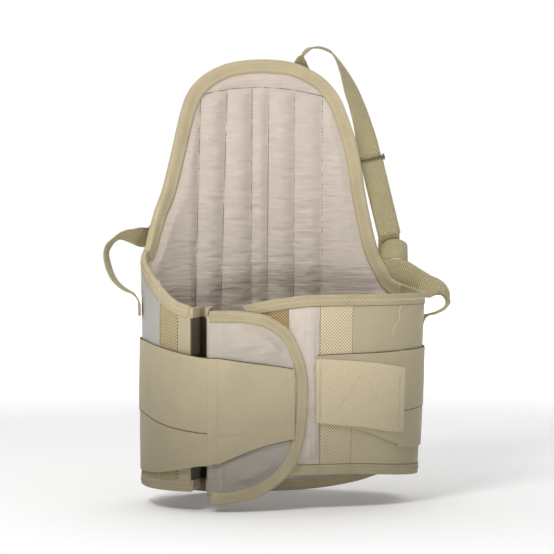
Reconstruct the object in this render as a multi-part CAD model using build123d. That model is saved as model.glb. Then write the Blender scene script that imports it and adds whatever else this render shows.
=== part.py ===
"""A thoraco-lumbar support belt, closed round an empty waist, with two shoulder straps.

Axes: +Z is up as worn, the front closure faces -Y and the tall back panel stands at +Y.
The lap that lies on top at the front comes from the -X side. All lengths are in millimetres.

The belt runs round a rounded oval, its base line. A place on the belt is a bearing, in
degrees from the middle of the back (positive towards +X, 180 at the middle of the front),
a height, and an offset outwards from the base line.
"""

import math
import os

from build123d import *

# The base line: half width, half depth, and how square the oval is.
HALF_WIDTH = 150.0
HALF_DEPTH = 90.0
OVAL_POWER = 2.5
# The +X side leans in towards the hem by this much.
SIDE_LEAN = 10.0
BELT_HEIGHT = 220.0

# Cloth thicknesses.
WALL = 4.0
COVER = 1.2
PADDING = 2.8
LINING = 1.2
BINDING_LIP = 0.5
FLAP_GAP = 0.6
FLAP_THICK = 6.0
HOOK_THICK = 1.0
STRAP_THICK = 2.0
TAB_GAP = 0.4

# Tape widths along the edges.
PANEL_TAPE = 15.0
HEM_TAPE = 11.0
FLAP_TAPE = 12.0

# Flexible steel stays in the back.
STAY_WIDTH = 16.0
STAY_THICK = 1.2
STAY_TOP = 425.0
STAY_BOTTOM = 30.0
STAY_PLACES = {
    "outer_left_stay": -56.5,
    "inner_left_stay": -26.5,
    "inner_right_stay": 24.0,
    "outer_right_stay": 52.0,
}
POCKET_WIDTH = 18.0

# Bearings of the seams round the belt.
LEFT_SEAM = -74.0
RIGHT_SEAM = 77.0
HINGE = 103.0
LEFT_MESH_END = -114.0
LEFT_FOLD = -119.8
FLAP_START = -126.5
FLAP_END = -182.0
RIGHT_MESH_START = 150.2
RIGHT_MESH_END = 170.9
LOOP_START = 192.0
UNDERLAP_END = 218.0
LEFT_TAB_START = -129.0
RIGHT_TAB_START = 124.0
CUT = 0.4

# The groove where the left front folds inwards.
FOLD_DEPTH = 34.0

# Outline of the tall back panel, x and z, from the left side over the top to the right side.
PANEL_EDGE = [
    (-175, 250), (-141.5, 264), (-133, 286), (-126, 305), (-115.8, 328), (-104, 369),
    (-93, 411), (-68, 448), (-30, 464), (0, 466.5), (30, 464), (68, 446), (91, 411),
    (103.5, 369), (110.8, 320), (118.3, 279), (123.8, 257.4), (130.8, 241.4), (138, 228),
    (148, 220.5), (175, 219),
]
# Lower hem of the back, x and z; its flat middle is what the belt stands on.
BACK_HEM = [(-175, 26), (-110, 10), (-60, 0), (60, 0), (110, 10), (175, 36)]

# Top edge of the left side and left front, y and z.
LEFT_TOP = [(80, 264), (41, 263.5), (0, 251), (-30, 236), (-55, 217), (-68, 210), (-110, 208)]
LEFT_HEM_HEIGHT = 20.0
RIGHT_TOP_HEIGHT = 220.0
# Lower hem of the right front, x and z.
RIGHT_HEM = [(170, 28), (126, 30), (60, 35), (0, 36), (-80, 36)]
# Top edge of the right front and its underlap, x and z.
RIGHT_TOP = [(170, 220), (60, 221), (5, 221), (-25, 218), (-68, 210), (-90, 206)]

# Outline of the left front flap, x and z, starting left of its fold.
FLAP_EDGE = [
    (-125, 206), (-100, 206), (-67, 205.5), (-38, 199), (-19, 185), (-6, 160), (0, 120),
    (-3, 84), (-10, 55), (-24, 34), (-46, 18.5), (-68, 11), (-87, 8), (-102, 11), (-125, 14),
]

# The wide elastic pull straps.
LEFT_STRAP_START = -60.0
RIGHT_STRAP_START = 62.0
LEFT_STRAP_TOP = [(-155, 176), (-142, 171), (-120, 163), (-92, 157)]
LEFT_BAND_LINE = [(-155, 98), (-142, 94), (-120, 85), (-92, 81)]
LEFT_STRAP_FOOT = [(-155, 35), (-142, 36), (-120, 44), (-92, 49)]
LEFT_TAB_EDGE = [(-100, 157.5), (-15, 146), (-17, 73), (-67, 61), (-100, 47)]
RIGHT_STRAP_HEIGHTS = (60.0, 104.0, 162.0)
RIGHT_TAB_EDGE = [(125, 162), (8, 159), (4, 92), (62, 82), (125, 62)]
RIGHT_PILE_EDGE = [(114, 144), (60, 152), (10, 155), (5, 91), (18, 88), (62, 84), (106, 77)]

# Shoulder webbing.
WEB_WIDTH = 25.0
WEB_THICK = 1.6
# Stations along the webbing: x, y, z of its middle and the direction across its width.
RIGHT_UPPER = [
    ((44, 92.5, 420), (1, 0, 0)),
    ((45, 92.5, 446), (1, 0, 0)),
    ((45.5, 96, 457), (0.92, 0.38, 0)),
    ((47, 98, 467), (0.6, 0.8, 0)),
    ((50, 98, 474), (0.1, 1, 0)),
    ((56, 98.5, 479), (0, 1, 0)),
    ((64, 99, 480), (0, 1, 0)),
    ((75, 99, 477.5), (0, 1, 0.1)),
    ((84, 98, 470), (0.2, 1, 0.2)),
    ((94, 97, 452), (0.5, 0.85, 0.25)),
    ((102, 95, 432), (0.8, 0.65, 0.3)),
    ((109, 93, 412), (0.9, 0.5, 0.3)),
    ((114.5, 91, 392), (0.95, 0.35, 0.28)),
]
# The doubled, straight run that the adjuster slides on.
RIGHT_RUN = ((118.5, 89.0, 372.0), (140.3, 80.3, 276.0))
RUN_ACROSS = (0.975, 0.0, 0.2216)
LEFT_RUN = ((-70.0, 99.0, 400.0), (-97.0, 97.0, 318.0))
LEFT_ACROSS = (0.9499, 0.0, -0.3127)
# The adjuster's place along the run, from its upper end.
ADJUSTER_PLACE = 14.0
LAYER_GAP = 3.2
RIGHT_LOWER = [
    ((128, 62, 238), (0, 0, 1)),
    ((138.5, 60.5, 239), (0, 0, 1)),
    ((148, 58, 237.5), (0, 0, 1)),
    ((160, 54, 230), (0.1, 0, 1)),
    ((171, 49, 222.7), (0.15, 0.15, 1)),
    ((179.7, 43, 219), (0.1, 0.5, 0.85)),
    ((185.4, 37, 214.6), (0.1, 0.8, 0.6)),
    ((188, 31, 209), (0.2, 0.93, 0.3)),
    ((187, 25, 202.5), (0.26, 0.96, 0)),
    ((178.4, 19, 197.2), (0.26, 0.96, 0)),
    ((167.8, 14, 193.9), (0.22, 0.97, 0)),
    ((157.5, 10, 191.6), (0.1, 0.99, 0)),
    ((152.3, 8.5, 186), (-0.04, 1, 0)),
    ((150.8, 8, 174), (-0.04, 1, 0)),
]
# The loose half turn of webbing between the run and the lower strap, leaning back.
CURL_CENTRE = (146.0, 80.0, 254.0)
CURL_RADIUS = 14.0
CURL_LEAN = 35.0
LEFT_UPPER = [
    ((-44, 92.5, 408), (1, 0, 0)),
    ((-44, 92.5, 430), (1, 0, 0)),
    ((-44.5, 94, 440), (1, 0, -0.05)),
    ((-46, 97.5, 444.5), (1, 0, -0.1)),
    ((-49, 101.5, 441), (0.97, 0, -0.2)),
    ((-53, 103, 432), (0.95, 0, -0.28)),
    ((-60, 102, 418), (0.95, 0, -0.31)),
]
LEFT_LOWER = [
    ((-98, 97.4, 314), (0.95, 0, -0.31)),
    ((-102, 95.5, 301), (0.87, 0.05, -0.5)),
    ((-109, 92, 289), (0.62, 0.2, -0.76)),
    ((-119, 88, 280), (0.28, 0.35, -0.9)),
    ((-130, 83.5, 276), (0.05, 0.5, -0.85)),
    ((-142, 77.5, 278.5), (0.1, 0.75, -0.62)),
    ((-154, 71, 279.5), (0.2, 0.9, -0.33)),
    ((-163, 66, 277), (0.26, 0.94, -0.15)),
    ((-171, 60, 271), (0.32, 0.94, -0.05)),
    ((-177.4, 53, 263), (0.4, 0.91, 0)),
    ((-179.5, 46, 253), (0.41, 0.91, 0)),
    ((-177.7, 39, 241), (0.4, 0.92, 0)),
    ((-173, 33, 231), (0.36, 0.93, 0)),
    ((-165.8, 27, 223.9), (0.32, 0.95, 0)),
    ((-156.9, 21, 218), (0.22, 0.97, 0)),
    ((-152.2, 17, 210), (0.14, 0.99, 0)),
    ((-151.6, 16, 196), (0.14, 0.99, 0)),
]

# Every named solid, kept here until it is written.
PARTS = {}


def base_point(bearing, z, offset):
    """A point `offset` outside the belt's base line, at a bearing and height."""
    across = math.sin(math.radians(bearing))
    back = math.cos(math.radians(bearing))
    half_width = HALF_WIDTH
    if across > 0:
        half_width -= SIDE_LEAN * max(0.0, 1 - z / BELT_HEIGHT)
    reach = (abs(across / half_width) ** OVAL_POWER + abs(back / HALF_DEPTH) ** OVAL_POWER)
    radius = reach ** (-1 / OVAL_POWER)
    x, y = radius * across, radius * back
    normal_x = math.copysign(abs(x / half_width) ** (OVAL_POWER - 1) / half_width, x)
    normal_y = math.copysign(abs(y / HALF_DEPTH) ** (OVAL_POWER - 1) / HALF_DEPTH, y)
    length = math.hypot(normal_x, normal_y)
    return Vector(x + offset * normal_x / length, y + offset * normal_y / length, z)


def plan(start, end, inner, outer, z):
    """The level slice of a wall between two bearings; offsets are (at start, at end)."""
    steps = max(3, math.ceil(abs(end - start) / 5))
    shares = [i / steps for i in range(steps + 1)]

    def side(offsets):
        return [
            base_point(start + (end - start) * t, z, offsets[0] + (offsets[1] - offsets[0]) * t)
            for t in shares
        ]

    near, far = side(inner), side(outer)
    edges = [
        Spline(*near),
        Line(near[-1], far[-1]),
        Spline(*reversed(far)),
        Line(far[0], near[0]),
    ]
    return make_face(edges)


def wall(start, end, inner, outer, bottom, top):
    """A curved wall between two bearings, two offsets and two heights."""
    inner = inner if isinstance(inner, tuple) else (inner, inner)
    outer = outer if isinstance(outer, tuple) else (outer, outer)
    low = plan(start, end, inner, outer, bottom)
    high = plan(start, end, inner, outer, top)
    return loft([low, high], ruled=True)


def inset_line(points, width):
    """The line of (x, z) points moved `width` to its right, square to its run."""
    moved = []
    for index, (x, z) in enumerate(points):
        before = points[max(index - 1, 0)]
        after = points[min(index + 1, len(points) - 1)]
        run_x, run_z = after[0] - before[0], after[1] - before[1]
        length = math.hypot(run_x, run_z)
        moved.append((x + width * run_z / length, z - width * run_x / length))
    return moved


def smooth_face(points, floor=None):
    """A face inside a smooth line of (x, z) points, closed by a chord or down to a floor."""
    curve = Spline(*[(x, z) for x, z in points])
    first, last = points[0], points[-1]
    if floor is None:
        return make_face([curve, Line(last, first)])
    sides = Polyline(last, (last[0], floor), (first[0], floor), first)
    return make_face([curve, sides])


def along_y(face):
    """The face, drawn as (x, z), run right through the object along Y."""
    return extrude(Plane.XZ * face, amount=300, both=True)


def along_x(face):
    """The face, drawn as (y, z), run right through the object along X."""
    return extrude(Plane.YZ * face, amount=300, both=True)


def below(points, run, drop=0.0):
    """Everything below a line through (position, height) points, lowered by `drop`."""
    ends = [(points[-1][0], -60), (points[0][0], -60)]
    lowered = [(a, z - drop) for a, z in points]
    return run(make_face(Polyline(*lowered, *ends, close=True)))


def polygon(points):
    """A straight-sided (x, z) outline run through the object along Y."""
    return along_y(make_face(Polyline(*points, close=True)))


def half_space(front):
    """Everything in front of, or behind, the plane Y = 0."""
    return Pos(0, -200 if front else 200, 200) * Box(600, 400, 800)


def add(name, shape):
    """Keeps one named solid, without any crumbs that a cut left beside it."""
    solids = shape.solids()
    PARTS[name] = max(solids, key=lambda solid: solid.volume)


def tongue():
    """The back panel's outline, as a prism, and the same less its edge tape."""
    face = smooth_face(PANEL_EDGE, floor=-60)
    inset = smooth_face(inset_line(PANEL_EDGE, PANEL_TAPE), floor=-60)
    return along_y(face), along_y(inset)


def back_panel():
    whole, inner = tongue()
    hem = below(BACK_HEM, along_y)
    hem_tape = below(BACK_HEM, along_y, drop=-HEM_TAPE)
    back = half_space(front=False)
    field = (inner & back) - hem_tape
    outer_face = 0.0
    cover = wall(LEFT_SEAM, RIGHT_SEAM, -COVER, outer_face, -10, 480)
    padding = wall(LEFT_SEAM, RIGHT_SEAM, -COVER - PADDING, -COVER, -10, 480)
    lining = wall(LEFT_SEAM, RIGHT_SEAM, -COVER - PADDING - LINING, -COVER - PADDING, -10, 480)
    rim = wall(
        LEFT_SEAM, RIGHT_SEAM, -COVER - PADDING - LINING - BINDING_LIP, BINDING_LIP, -10, 480
    )
    core = padding & field
    for name, place in STAY_PLACES.items():
        pocket = Pos(place, 0, (STAY_TOP + STAY_BOTTOM) / 2) * Box(
            POCKET_WIDTH, 400, STAY_TOP - STAY_BOTTOM + 4
        )
        core -= pocket & back
        strip = Pos(place, 0, (STAY_TOP + STAY_BOTTOM) / 2) * Box(
            STAY_WIDTH, 400, STAY_TOP - STAY_BOTTOM
        )
        middle = -COVER - PADDING / 2
        blade = wall(-60, 60, middle - STAY_THICK / 2, middle + STAY_THICK / 2, 0, 460)
        add(name, blade & strip & back)
    add("back_panel_cover", cover & field)
    add("back_panel_lining", lining & field)
    add("back_panel_padding", core)
    add("back_panel_tape", (rim & whole & back) - inner - hem_tape)
    add("back_hem_tape", (rim & whole & back & hem_tape) - hem)


def left_side():
    """The left side, from the back panel's seam to the line the front opens on."""
    end = -HINGE + CUT
    sheet = wall(LEFT_SEAM, end, -WALL, 0, LEFT_HEM_HEIGHT + HEM_TAPE, 280)
    tape = wall(LEFT_SEAM, end, -WALL - BINDING_LIP, BINDING_LIP, LEFT_HEM_HEIGHT, 280)
    field = below(LEFT_TOP, along_x, drop=HEM_TAPE)
    whole = below(LEFT_TOP, along_x)
    add("left_side_panel", sheet & field)
    add("left_side_top_tape", (tape & whole) - field)
    add("left_side_hem_tape", wall(
        LEFT_SEAM, end, -WALL - BINDING_LIP, BINDING_LIP, LEFT_HEM_HEIGHT,
        LEFT_HEM_HEIGHT + HEM_TAPE,
    ))


def right_side():
    """The right side, from the back panel's seam to the line the front opens on."""
    end = HINGE - CUT
    top = RIGHT_TOP_HEIGHT
    hem = 27.0
    add("right_side_panel", wall(
        RIGHT_SEAM, end, -WALL, 0, hem + HEM_TAPE, top - HEM_TAPE))
    for name, low in (("right_side_hem_tape", hem), ("right_side_top_tape", top - HEM_TAPE)):
        add(name, wall(
            RIGHT_SEAM, end, -WALL - BINDING_LIP, BINDING_LIP, low, low + HEM_TAPE))


def fold_web():
    """The deep inward fold between the left front and the flap, as a U seen from above."""
    outer_left = base_point(LEFT_FOLD - 0.2, 0, 0)
    outer_right = base_point(FLAP_START + 0.05, 0, FLAP_GAP + HOOK_THICK)
    middle = (LEFT_FOLD + FLAP_START) / 2
    inwards = base_point(middle, 0, 0) - base_point(middle, 0, 1)
    sideways = (outer_right - outer_left).normalized()
    thick = 2.5
    left_root = outer_left + inwards * FOLD_DEPTH + sideways * 2
    right_root = outer_right + inwards * FOLD_DEPTH - sideways * 2
    points = [
        outer_left, outer_left + sideways * thick,
        left_root + sideways * thick - inwards * thick,
        right_root - sideways * thick - inwards * thick,
        outer_right - sideways * thick, outer_right,
        right_root, left_root,
    ]
    face = make_face(Polyline(*[(p.X, p.Y) for p in points], close=True))
    low = LEFT_HEM_HEIGHT
    return extrude(Pos(0, 0, low) * face, amount=206 - low)


def left_front():
    """The left front: mesh strip, elastic strip, inward fold and the padded flap."""
    start = -HINGE - CUT
    hem = LEFT_HEM_HEIGHT
    field = below(LEFT_TOP, along_x, drop=HEM_TAPE)
    whole = below(LEFT_TOP, along_x)
    for name, first, last in (
        ("left_mesh_strip", start, LEFT_MESH_END),
        ("left_elastic_strip", LEFT_MESH_END, LEFT_FOLD),
    ):
        add(name, wall(first, last, -WALL, 0, hem + HEM_TAPE, 280) & field)
    lip = wall(start, LEFT_FOLD, -WALL - BINDING_LIP, BINDING_LIP, hem, 280)
    add("left_front_top_tape", (lip & whole) - field)
    add("left_front_hem_tape", wall(
        start, LEFT_FOLD, -WALL - BINDING_LIP, BINDING_LIP, hem, hem + HEM_TAPE))
    add("left_inward_fold", fold_web())

    outline = along_y(smooth_face(FLAP_EDGE))
    inset = along_y(smooth_face(inset_line(FLAP_EDGE, FLAP_TAPE)))
    lap_in = FLAP_GAP + HOOK_THICK
    lap_out = FLAP_GAP + FLAP_THICK
    front = half_space(front=True)
    pad = wall(FLAP_START, FLAP_END, lap_in, lap_out, 0, 215)
    rim = wall(FLAP_START, FLAP_END, FLAP_GAP, lap_out, 0, 215)
    hook = wall(-150, -174, FLAP_GAP, lap_in, 45, 178)
    add("left_flap", pad & inset & front)
    add("left_flap_tape", (rim & outline & front) - inset)
    add("left_flap_hook", hook & inset)


def right_front():
    """The right front: elastic panel, mesh strip and the underlap below the left flap."""
    start = HINGE + CUT
    front = half_space(front=True)
    hem = below(RIGHT_HEM, along_y)
    hem_tape = below(RIGHT_HEM, along_y, drop=-HEM_TAPE)
    whole = below(RIGHT_TOP, along_y)
    field = (below(RIGHT_TOP, along_y, drop=HEM_TAPE) & front) - hem_tape
    for name, first, last in (
        ("right_elastic_panel", start, RIGHT_MESH_START),
        ("right_mesh_strip", RIGHT_MESH_START, RIGHT_MESH_END),
        ("right_underlap", RIGHT_MESH_END, LOOP_START),
        ("right_loop_field", LOOP_START, UNDERLAP_END),
    ):
        add(name, wall(first, last, -WALL, 0, 0, 230) & field)
    lip = wall(start, UNDERLAP_END, -WALL - BINDING_LIP, BINDING_LIP - 0.2, 0, 230) & front
    add("right_front_top_tape", (lip & whole) - below(RIGHT_TOP, along_y, drop=HEM_TAPE))
    add("right_front_hem_tape", (lip & hem_tape) - hem)


def band(start, end, inner, outer, upper, lower):
    """A strip of the left pull strap between two slanting (x, z) lines."""
    strip = wall(start, end, inner, outer, 20, 200)
    front = half_space(front=True)
    return ((strip & front) & below(upper, along_y)) - below(lower, along_y)


def left_pull_strap():
    """The left elastic pull strap, in two bands, and the tab that grips the flap."""
    side_in = BINDING_LIP + 0.1
    side_out = side_in + STRAP_THICK
    lap = FLAP_GAP + FLAP_THICK + TAB_GAP
    hinge = -HINGE - CUT
    add("left_strap_root", wall(
        LEFT_STRAP_START, -HINGE + CUT, side_in, side_out, 36, 172))
    slant_in, slant_out = (side_in, lap + 0.7), (side_out, lap + 0.7 + STRAP_THICK)
    last = LEFT_TAB_START + CUT
    add("left_strap_upper_band", band(
        hinge, last, slant_in, slant_out, LEFT_STRAP_TOP, LEFT_BAND_LINE))
    thin_out = (side_out - 0.5, lap + 0.2 + STRAP_THICK)
    add("left_strap_lower_band", band(
        hinge, last, slant_in, thin_out, LEFT_BAND_LINE, LEFT_STRAP_FOOT))
    tab = wall(LEFT_TAB_START, -172.5, lap + 0.7, lap + STRAP_THICK, 20, 200)
    add("left_tab", tab & polygon(LEFT_TAB_EDGE) & half_space(front=True))
    add("left_tab_hook", wall(-148, -168, lap, lap + 0.7, 72, 142))


def right_pull_strap():
    """The right elastic pull strap and the tab with its fleecy pile face."""
    foot, line, top = RIGHT_STRAP_HEIGHTS
    side_in = BINDING_LIP + 0.1
    side_out = side_in + STRAP_THICK
    add("right_strap_root", wall(
        RIGHT_STRAP_START, HINGE - CUT, side_in, side_out, foot, top))
    last = RIGHT_TAB_START - CUT
    add("right_strap_upper_band", wall(HINGE + CUT, last, side_in, side_out, line, top))
    add("right_strap_lower_band", wall(HINGE + CUT, last, side_in, side_out - 0.5, foot, line))
    front = half_space(front=True)
    backing = wall(RIGHT_TAB_START, 178, side_in, side_in + 1.6, 20, 200)
    add("right_tab", backing & polygon(RIGHT_TAB_EDGE) & front)
    pile = wall(RIGHT_TAB_START, 178, side_in + 1.6, side_in + 3.2, 20, 200)
    add("right_tab_pile", pile & polygon(RIGHT_PILE_EDGE) & front)


def section(middle, across, along, thick):
    """The webbing's cross-section at one station."""
    along = along.normalized()
    width = Vector(*across)
    width = (width - along * width.dot(along)).normalized()
    facing = along.cross(width)
    corners = []
    for a, b in ((1, 1), (-1, 1), (-1, -1), (1, -1)):
        corners.append(middle + width * (a * WEB_WIDTH / 2) + facing * (b * thick / 2))
    return make_face(Polyline(*corners, close=True))


def webbing(stations, thick=WEB_THICK):
    """A flat webbing strap through stations of (middle, direction across)."""
    middles = [Vector(*middle) for middle, _ in stations]
    faces = []
    for index, (_, across) in enumerate(stations):
        before = middles[max(index - 1, 0)]
        after = middles[min(index + 1, len(middles) - 1)]
        faces.append(section(middles[index], across, after - before, thick))
    return loft(faces, ruled=True)


def run_frame(ends, across):
    """Start, direction, width direction and facing of a straight webbing run."""
    start, end = Vector(*ends[0]), Vector(*ends[1])
    along = (end - start).normalized()
    width = Vector(*across)
    width = (width - along * width.dot(along)).normalized()
    return start, end, along, width, along.cross(width)


def shifted(stations, facing, amount):
    return [(tuple(Vector(*m) + facing * amount), a) for m, a in stations]


def strap_run(side, ends, across):
    """The doubled run: the strap, the layer that returns, and the adjuster on both."""
    start, end, along, width, facing = run_frame(ends, across)
    front_layer = [(tuple(start), across), (tuple(end), across)]
    fold_shift = facing * LAYER_GAP
    return_start = start + along * 14 + fold_shift
    back_layer = [(tuple(return_start), across), (tuple(end + fold_shift), across)]
    add(f"{side}_strap_return", webbing(back_layer))
    middle = start + along * ADJUSTER_PLACE + fold_shift * 0.5
    place = Location(Plane(origin=middle, x_dir=width, z_dir=along))
    frame = Box(WEB_WIDTH + 6, LAYER_GAP + 6.4, 8)
    frame -= Box(WEB_WIDTH + 1, LAYER_GAP + 2.8, 20)
    bar = Cylinder(0.4, WEB_WIDTH + 4, rotation=(0, 90, 0))
    add(f"{side}_adjuster", place * (frame + bar))
    return front_layer


def curl_stations():
    """Stations round the loose half turn, whose webbing leans away from the front."""
    right, away, up = Vector(0.966, -0.259, 0), Vector(0.259, 0.966, 0), Vector(0, 0, 1)
    lean = math.radians(CURL_LEAN)
    across = away * math.sin(lean) + up * math.cos(lean)
    outward = up * math.sin(lean) - away * math.cos(lean)
    stations = []
    for turn in range(-90, 91, 15):
        angle = math.radians(turn)
        reach = right * math.sin(angle) + outward * math.cos(angle)
        stations.append((tuple(Vector(*CURL_CENTRE) + reach * CURL_RADIUS), tuple(across)))
    return stations


def right_shoulder_strap():
    run = strap_run("right", RIGHT_RUN, RUN_ACROSS)
    add("right_strap_upper", webbing(RIGHT_UPPER + run))
    add("right_strap_curl", webbing(curl_stations()))
    add("right_strap_lower", webbing(RIGHT_LOWER))


def left_shoulder_strap():
    run = strap_run("left", LEFT_RUN, LEFT_ACROSS)
    add("left_strap_upper", webbing(list(reversed(LEFT_UPPER + run))))
    add("left_strap_lower", webbing(LEFT_LOWER))


back_panel()
left_side()
right_side()
left_front()
right_front()
left_pull_strap()
right_pull_strap()
right_shoulder_strap()
left_shoulder_strap()

# The origin is the middle of the whole object's box, at the height of its lowest point.
box = Compound(list(PARTS.values())).bounding_box()
to_origin = Location((-box.center().X, -box.center().Y, -box.min.Z))
print("moved by", to_origin.position)

os.makedirs("parts", exist_ok=True)
for name, shape in PARTS.items():
    export_step(shape.moved(to_origin), f"parts/{name}.step")
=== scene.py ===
"""A thoraco-lumbar support belt in studio light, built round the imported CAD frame.

Lengths are in millimetres until a mesh is made, and then in metres. A place on the belt is
given as on its flat pattern: the length `s` along the belt's base line from the middle of
the back (positive towards +X), the height `z`, and the offset `h` outwards from that line.
"""

import math

import bmesh
import bpy
import numpy as np
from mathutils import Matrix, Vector


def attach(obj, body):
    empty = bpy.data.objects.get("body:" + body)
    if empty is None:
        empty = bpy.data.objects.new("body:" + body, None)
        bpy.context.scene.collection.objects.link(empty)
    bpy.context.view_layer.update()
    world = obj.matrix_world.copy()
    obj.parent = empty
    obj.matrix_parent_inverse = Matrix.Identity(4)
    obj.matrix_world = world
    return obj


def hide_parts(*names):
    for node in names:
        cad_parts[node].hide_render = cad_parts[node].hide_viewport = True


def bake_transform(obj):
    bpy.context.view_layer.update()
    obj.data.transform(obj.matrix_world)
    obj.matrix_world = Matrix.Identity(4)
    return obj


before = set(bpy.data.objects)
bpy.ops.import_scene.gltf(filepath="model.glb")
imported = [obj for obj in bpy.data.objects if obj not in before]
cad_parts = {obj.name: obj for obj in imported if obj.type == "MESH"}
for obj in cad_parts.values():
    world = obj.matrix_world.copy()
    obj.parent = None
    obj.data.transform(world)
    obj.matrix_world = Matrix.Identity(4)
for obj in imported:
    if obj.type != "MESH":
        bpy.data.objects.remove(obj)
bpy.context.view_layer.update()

MM = 0.001
# The CAD model's own base line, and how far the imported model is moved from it.
SHIFT = np.array((-5.212, -6.311, 0.0))
HALF_WIDTH = 150.0
HALF_DEPTH = 90.0
OVAL_POWER = 2.5
SIDE_LEAN = 10.0
BELT_HEIGHT = 220.0

# Offsets of the cloth layers from the base line.
WALL = 4.0
PANEL_WALL = 5.2
FLAP_IN = 0.9
FLAP_OUT = 6.1
STRAP_IN = 0.75
STRAP_THICK = 1.9
LAP_OUT = 7.1

TAPE_WIDTH = 15.0
HEM_WIDTH = 11.5
FLAP_TAPE_WIDTH = 12.5

# The distance between the cords of the loop mesh along its diagonals.
MESH_PITCH = 2.4


# ---------------------------------------------------------------- plan lines

def lengths(run):
    """Length along a run of points, from its start."""
    return np.concatenate(([0], np.cumsum(np.linalg.norm(np.diff(run, axis=0), axis=1))))


def directions(run):
    """The unit direction of a run at each of its points."""
    along = np.gradient(run, axis=0)
    return along / np.linalg.norm(along, axis=1)[:, None]


class Plan:
    """A line seen from above, measured by the length along it, with its left-hand normal."""

    def __init__(self, points, zero_at=None):
        points = np.array(points, float)
        steps = np.hypot(*np.diff(points, axis=0).T)
        self.arc = np.concatenate(([0.0], np.cumsum(steps)))
        if zero_at is not None:
            self.arc -= self.arc[zero_at]
        self.points = points
        along = directions(points)
        self.normal = np.stack((-along[:, 1], along[:, 0]), 1)

    def place(self, s, z, h):
        """Positions in metres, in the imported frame, of points on the flat pattern."""
        s, z, h = np.broadcast_arrays(s, z, h)
        x, y = (np.interp(s, self.arc, self.points[:, i]) for i in (0, 1))
        x = x + h * np.interp(s, self.arc, self.normal[:, 0])
        y = y + h * np.interp(s, self.arc, self.normal[:, 1])
        lean = SIDE_LEAN / HALF_WIDTH * np.clip(1 - z / BELT_HEIGHT, 0, None)
        x = np.where(x > 0, x * (1 - lean), x)
        return (np.stack((x, y, z), -1) + SHIFT) * MM


def oval(bearing):
    """The base line's point at a bearing in degrees from the middle of the back."""
    across, back = np.sin(np.radians(bearing)), np.cos(np.radians(bearing))
    reach = np.abs(across / HALF_WIDTH) ** OVAL_POWER + np.abs(back / HALF_DEPTH) ** OVAL_POWER
    return reach ** (-1 / OVAL_POWER) * np.array((across, back))


BEARINGS = np.linspace(-200, 240, 4401)
BASE = Plan(np.array([oval(b) for b in BEARINGS]), zero_at=2000)


def arc_at(bearing):
    return float(np.interp(bearing, BEARINGS, BASE.arc))


def back_arc(x):
    """Length along the base line of the back's point at x."""
    part = (BEARINGS > -90) & (BEARINGS < 90)
    return np.interp(x, BASE.points[part, 0], BASE.arc[part])


def front_arc(x):
    """Length along the base line of the left front's point at x; it falls as x grows."""
    part = (BEARINGS < -92) & (BEARINGS > -199)
    return np.interp(x, BASE.points[part, 0][::-1], BASE.arc[part][::-1])


LEFT_SEAM, RIGHT_SEAM = arc_at(-74), arc_at(77)
LEFT_HINGE, RIGHT_HINGE = arc_at(-103), arc_at(103)
LEFT_MESH_START, LEFT_MESH_END = arc_at(-105.4), arc_at(-114)
LEFT_FOLD, FLAP_START = arc_at(-119.8), arc_at(-126.5)
LEFT_TAB_START = arc_at(-129)
RIGHT_MESH_START, RIGHT_MESH_END = arc_at(150.2), arc_at(170.9)
LOOP_START, UNDERLAP_END = arc_at(192), arc_at(218)
RIGHT_TAB_START = arc_at(124)

# The back panel's outline, x and z.
PANEL_EDGE = [
    (-141.5, 264), (-133, 286), (-126, 305), (-115.8, 328), (-104, 369), (-93, 411),
    (-83, 433), (-68, 448), (-50, 458), (-30, 464), (0, 466.5), (30, 464), (50, 457),
    (68, 446), (82, 430), (91, 411), (103.5, 369), (110.8, 320), (118.3, 279), (123.8, 257.4),
    (130.8, 241.4), (138, 228),
]
# The top edge and the hem all the way round, as (s, z).
TOP_LINE = (
    [(-277, 209.5), (-256, 217), (-228, 236), (-198, 250)]
    + [(float(back_arc(x)), z) for x, z in PANEL_EDGE]
    + [(191, 220.5), (230, 220), (290, 220.5), (345, 221), (392, 221), (424, 218),
       (450, 214), (467, 210)]
)
HEM_LINE = [
    (-277, 20), (-200, 20), (-156, 19.5), (-130, 15), (-112, 10), (-60, 1.5), (0, 0.2),
    (60, 1.5), (112, 10), (160, 25.5), (198, 28), (259, 30), (333, 35), (378, 36), (467, 36),
]


def smooth_line(points, step=2.5):
    """A rounded run through (s, z) points, sampled evenly."""
    points = np.array(points, float)
    padded = np.vstack((2 * points[0] - points[1], points, 2 * points[-1] - points[-2]))
    run = []
    for i in range(len(points) - 1):
        p0, p1, p2, p3 = padded[i:i + 4]
        for t in np.linspace(0, 1, 12, endpoint=False):
            run.append(0.5 * (
                2 * p1 + (p2 - p0) * t + (2 * p0 - 5 * p1 + 4 * p2 - p3) * t ** 2
                + (3 * p1 - p0 - 3 * p2 + p3) * t ** 3))
    run.append(points[-1])
    run = np.array(run)
    arc = lengths(run)
    even = np.linspace(0, arc[-1], max(2, int(arc[-1] / step)) + 1)
    return np.stack([np.interp(even, arc, run[:, i]) for i in range(run.shape[1])], 1)


TOP_RUN = smooth_line(TOP_LINE)
HEM_RUN = smooth_line(HEM_LINE)


def height_on(line):
    """The height of a line of (s, z) points that runs one way along s."""
    order = np.argsort(line[:, 0])
    return lambda s: np.interp(s, line[order, 0], line[order, 1])


top_height, hem_height = height_on(TOP_RUN), height_on(HEM_RUN)


# ---------------------------------------------------------------- noise and relief

def between(corners, fu, fv):
    """The value at shares fu and fv between four corner values, by (u, v) side."""
    low = corners[0][0] * (1 - fv) + corners[0][1] * fv
    high = corners[1][0] * (1 - fv) + corners[1][1] * fv
    return low * (1 - fu) + high * fu


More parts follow.
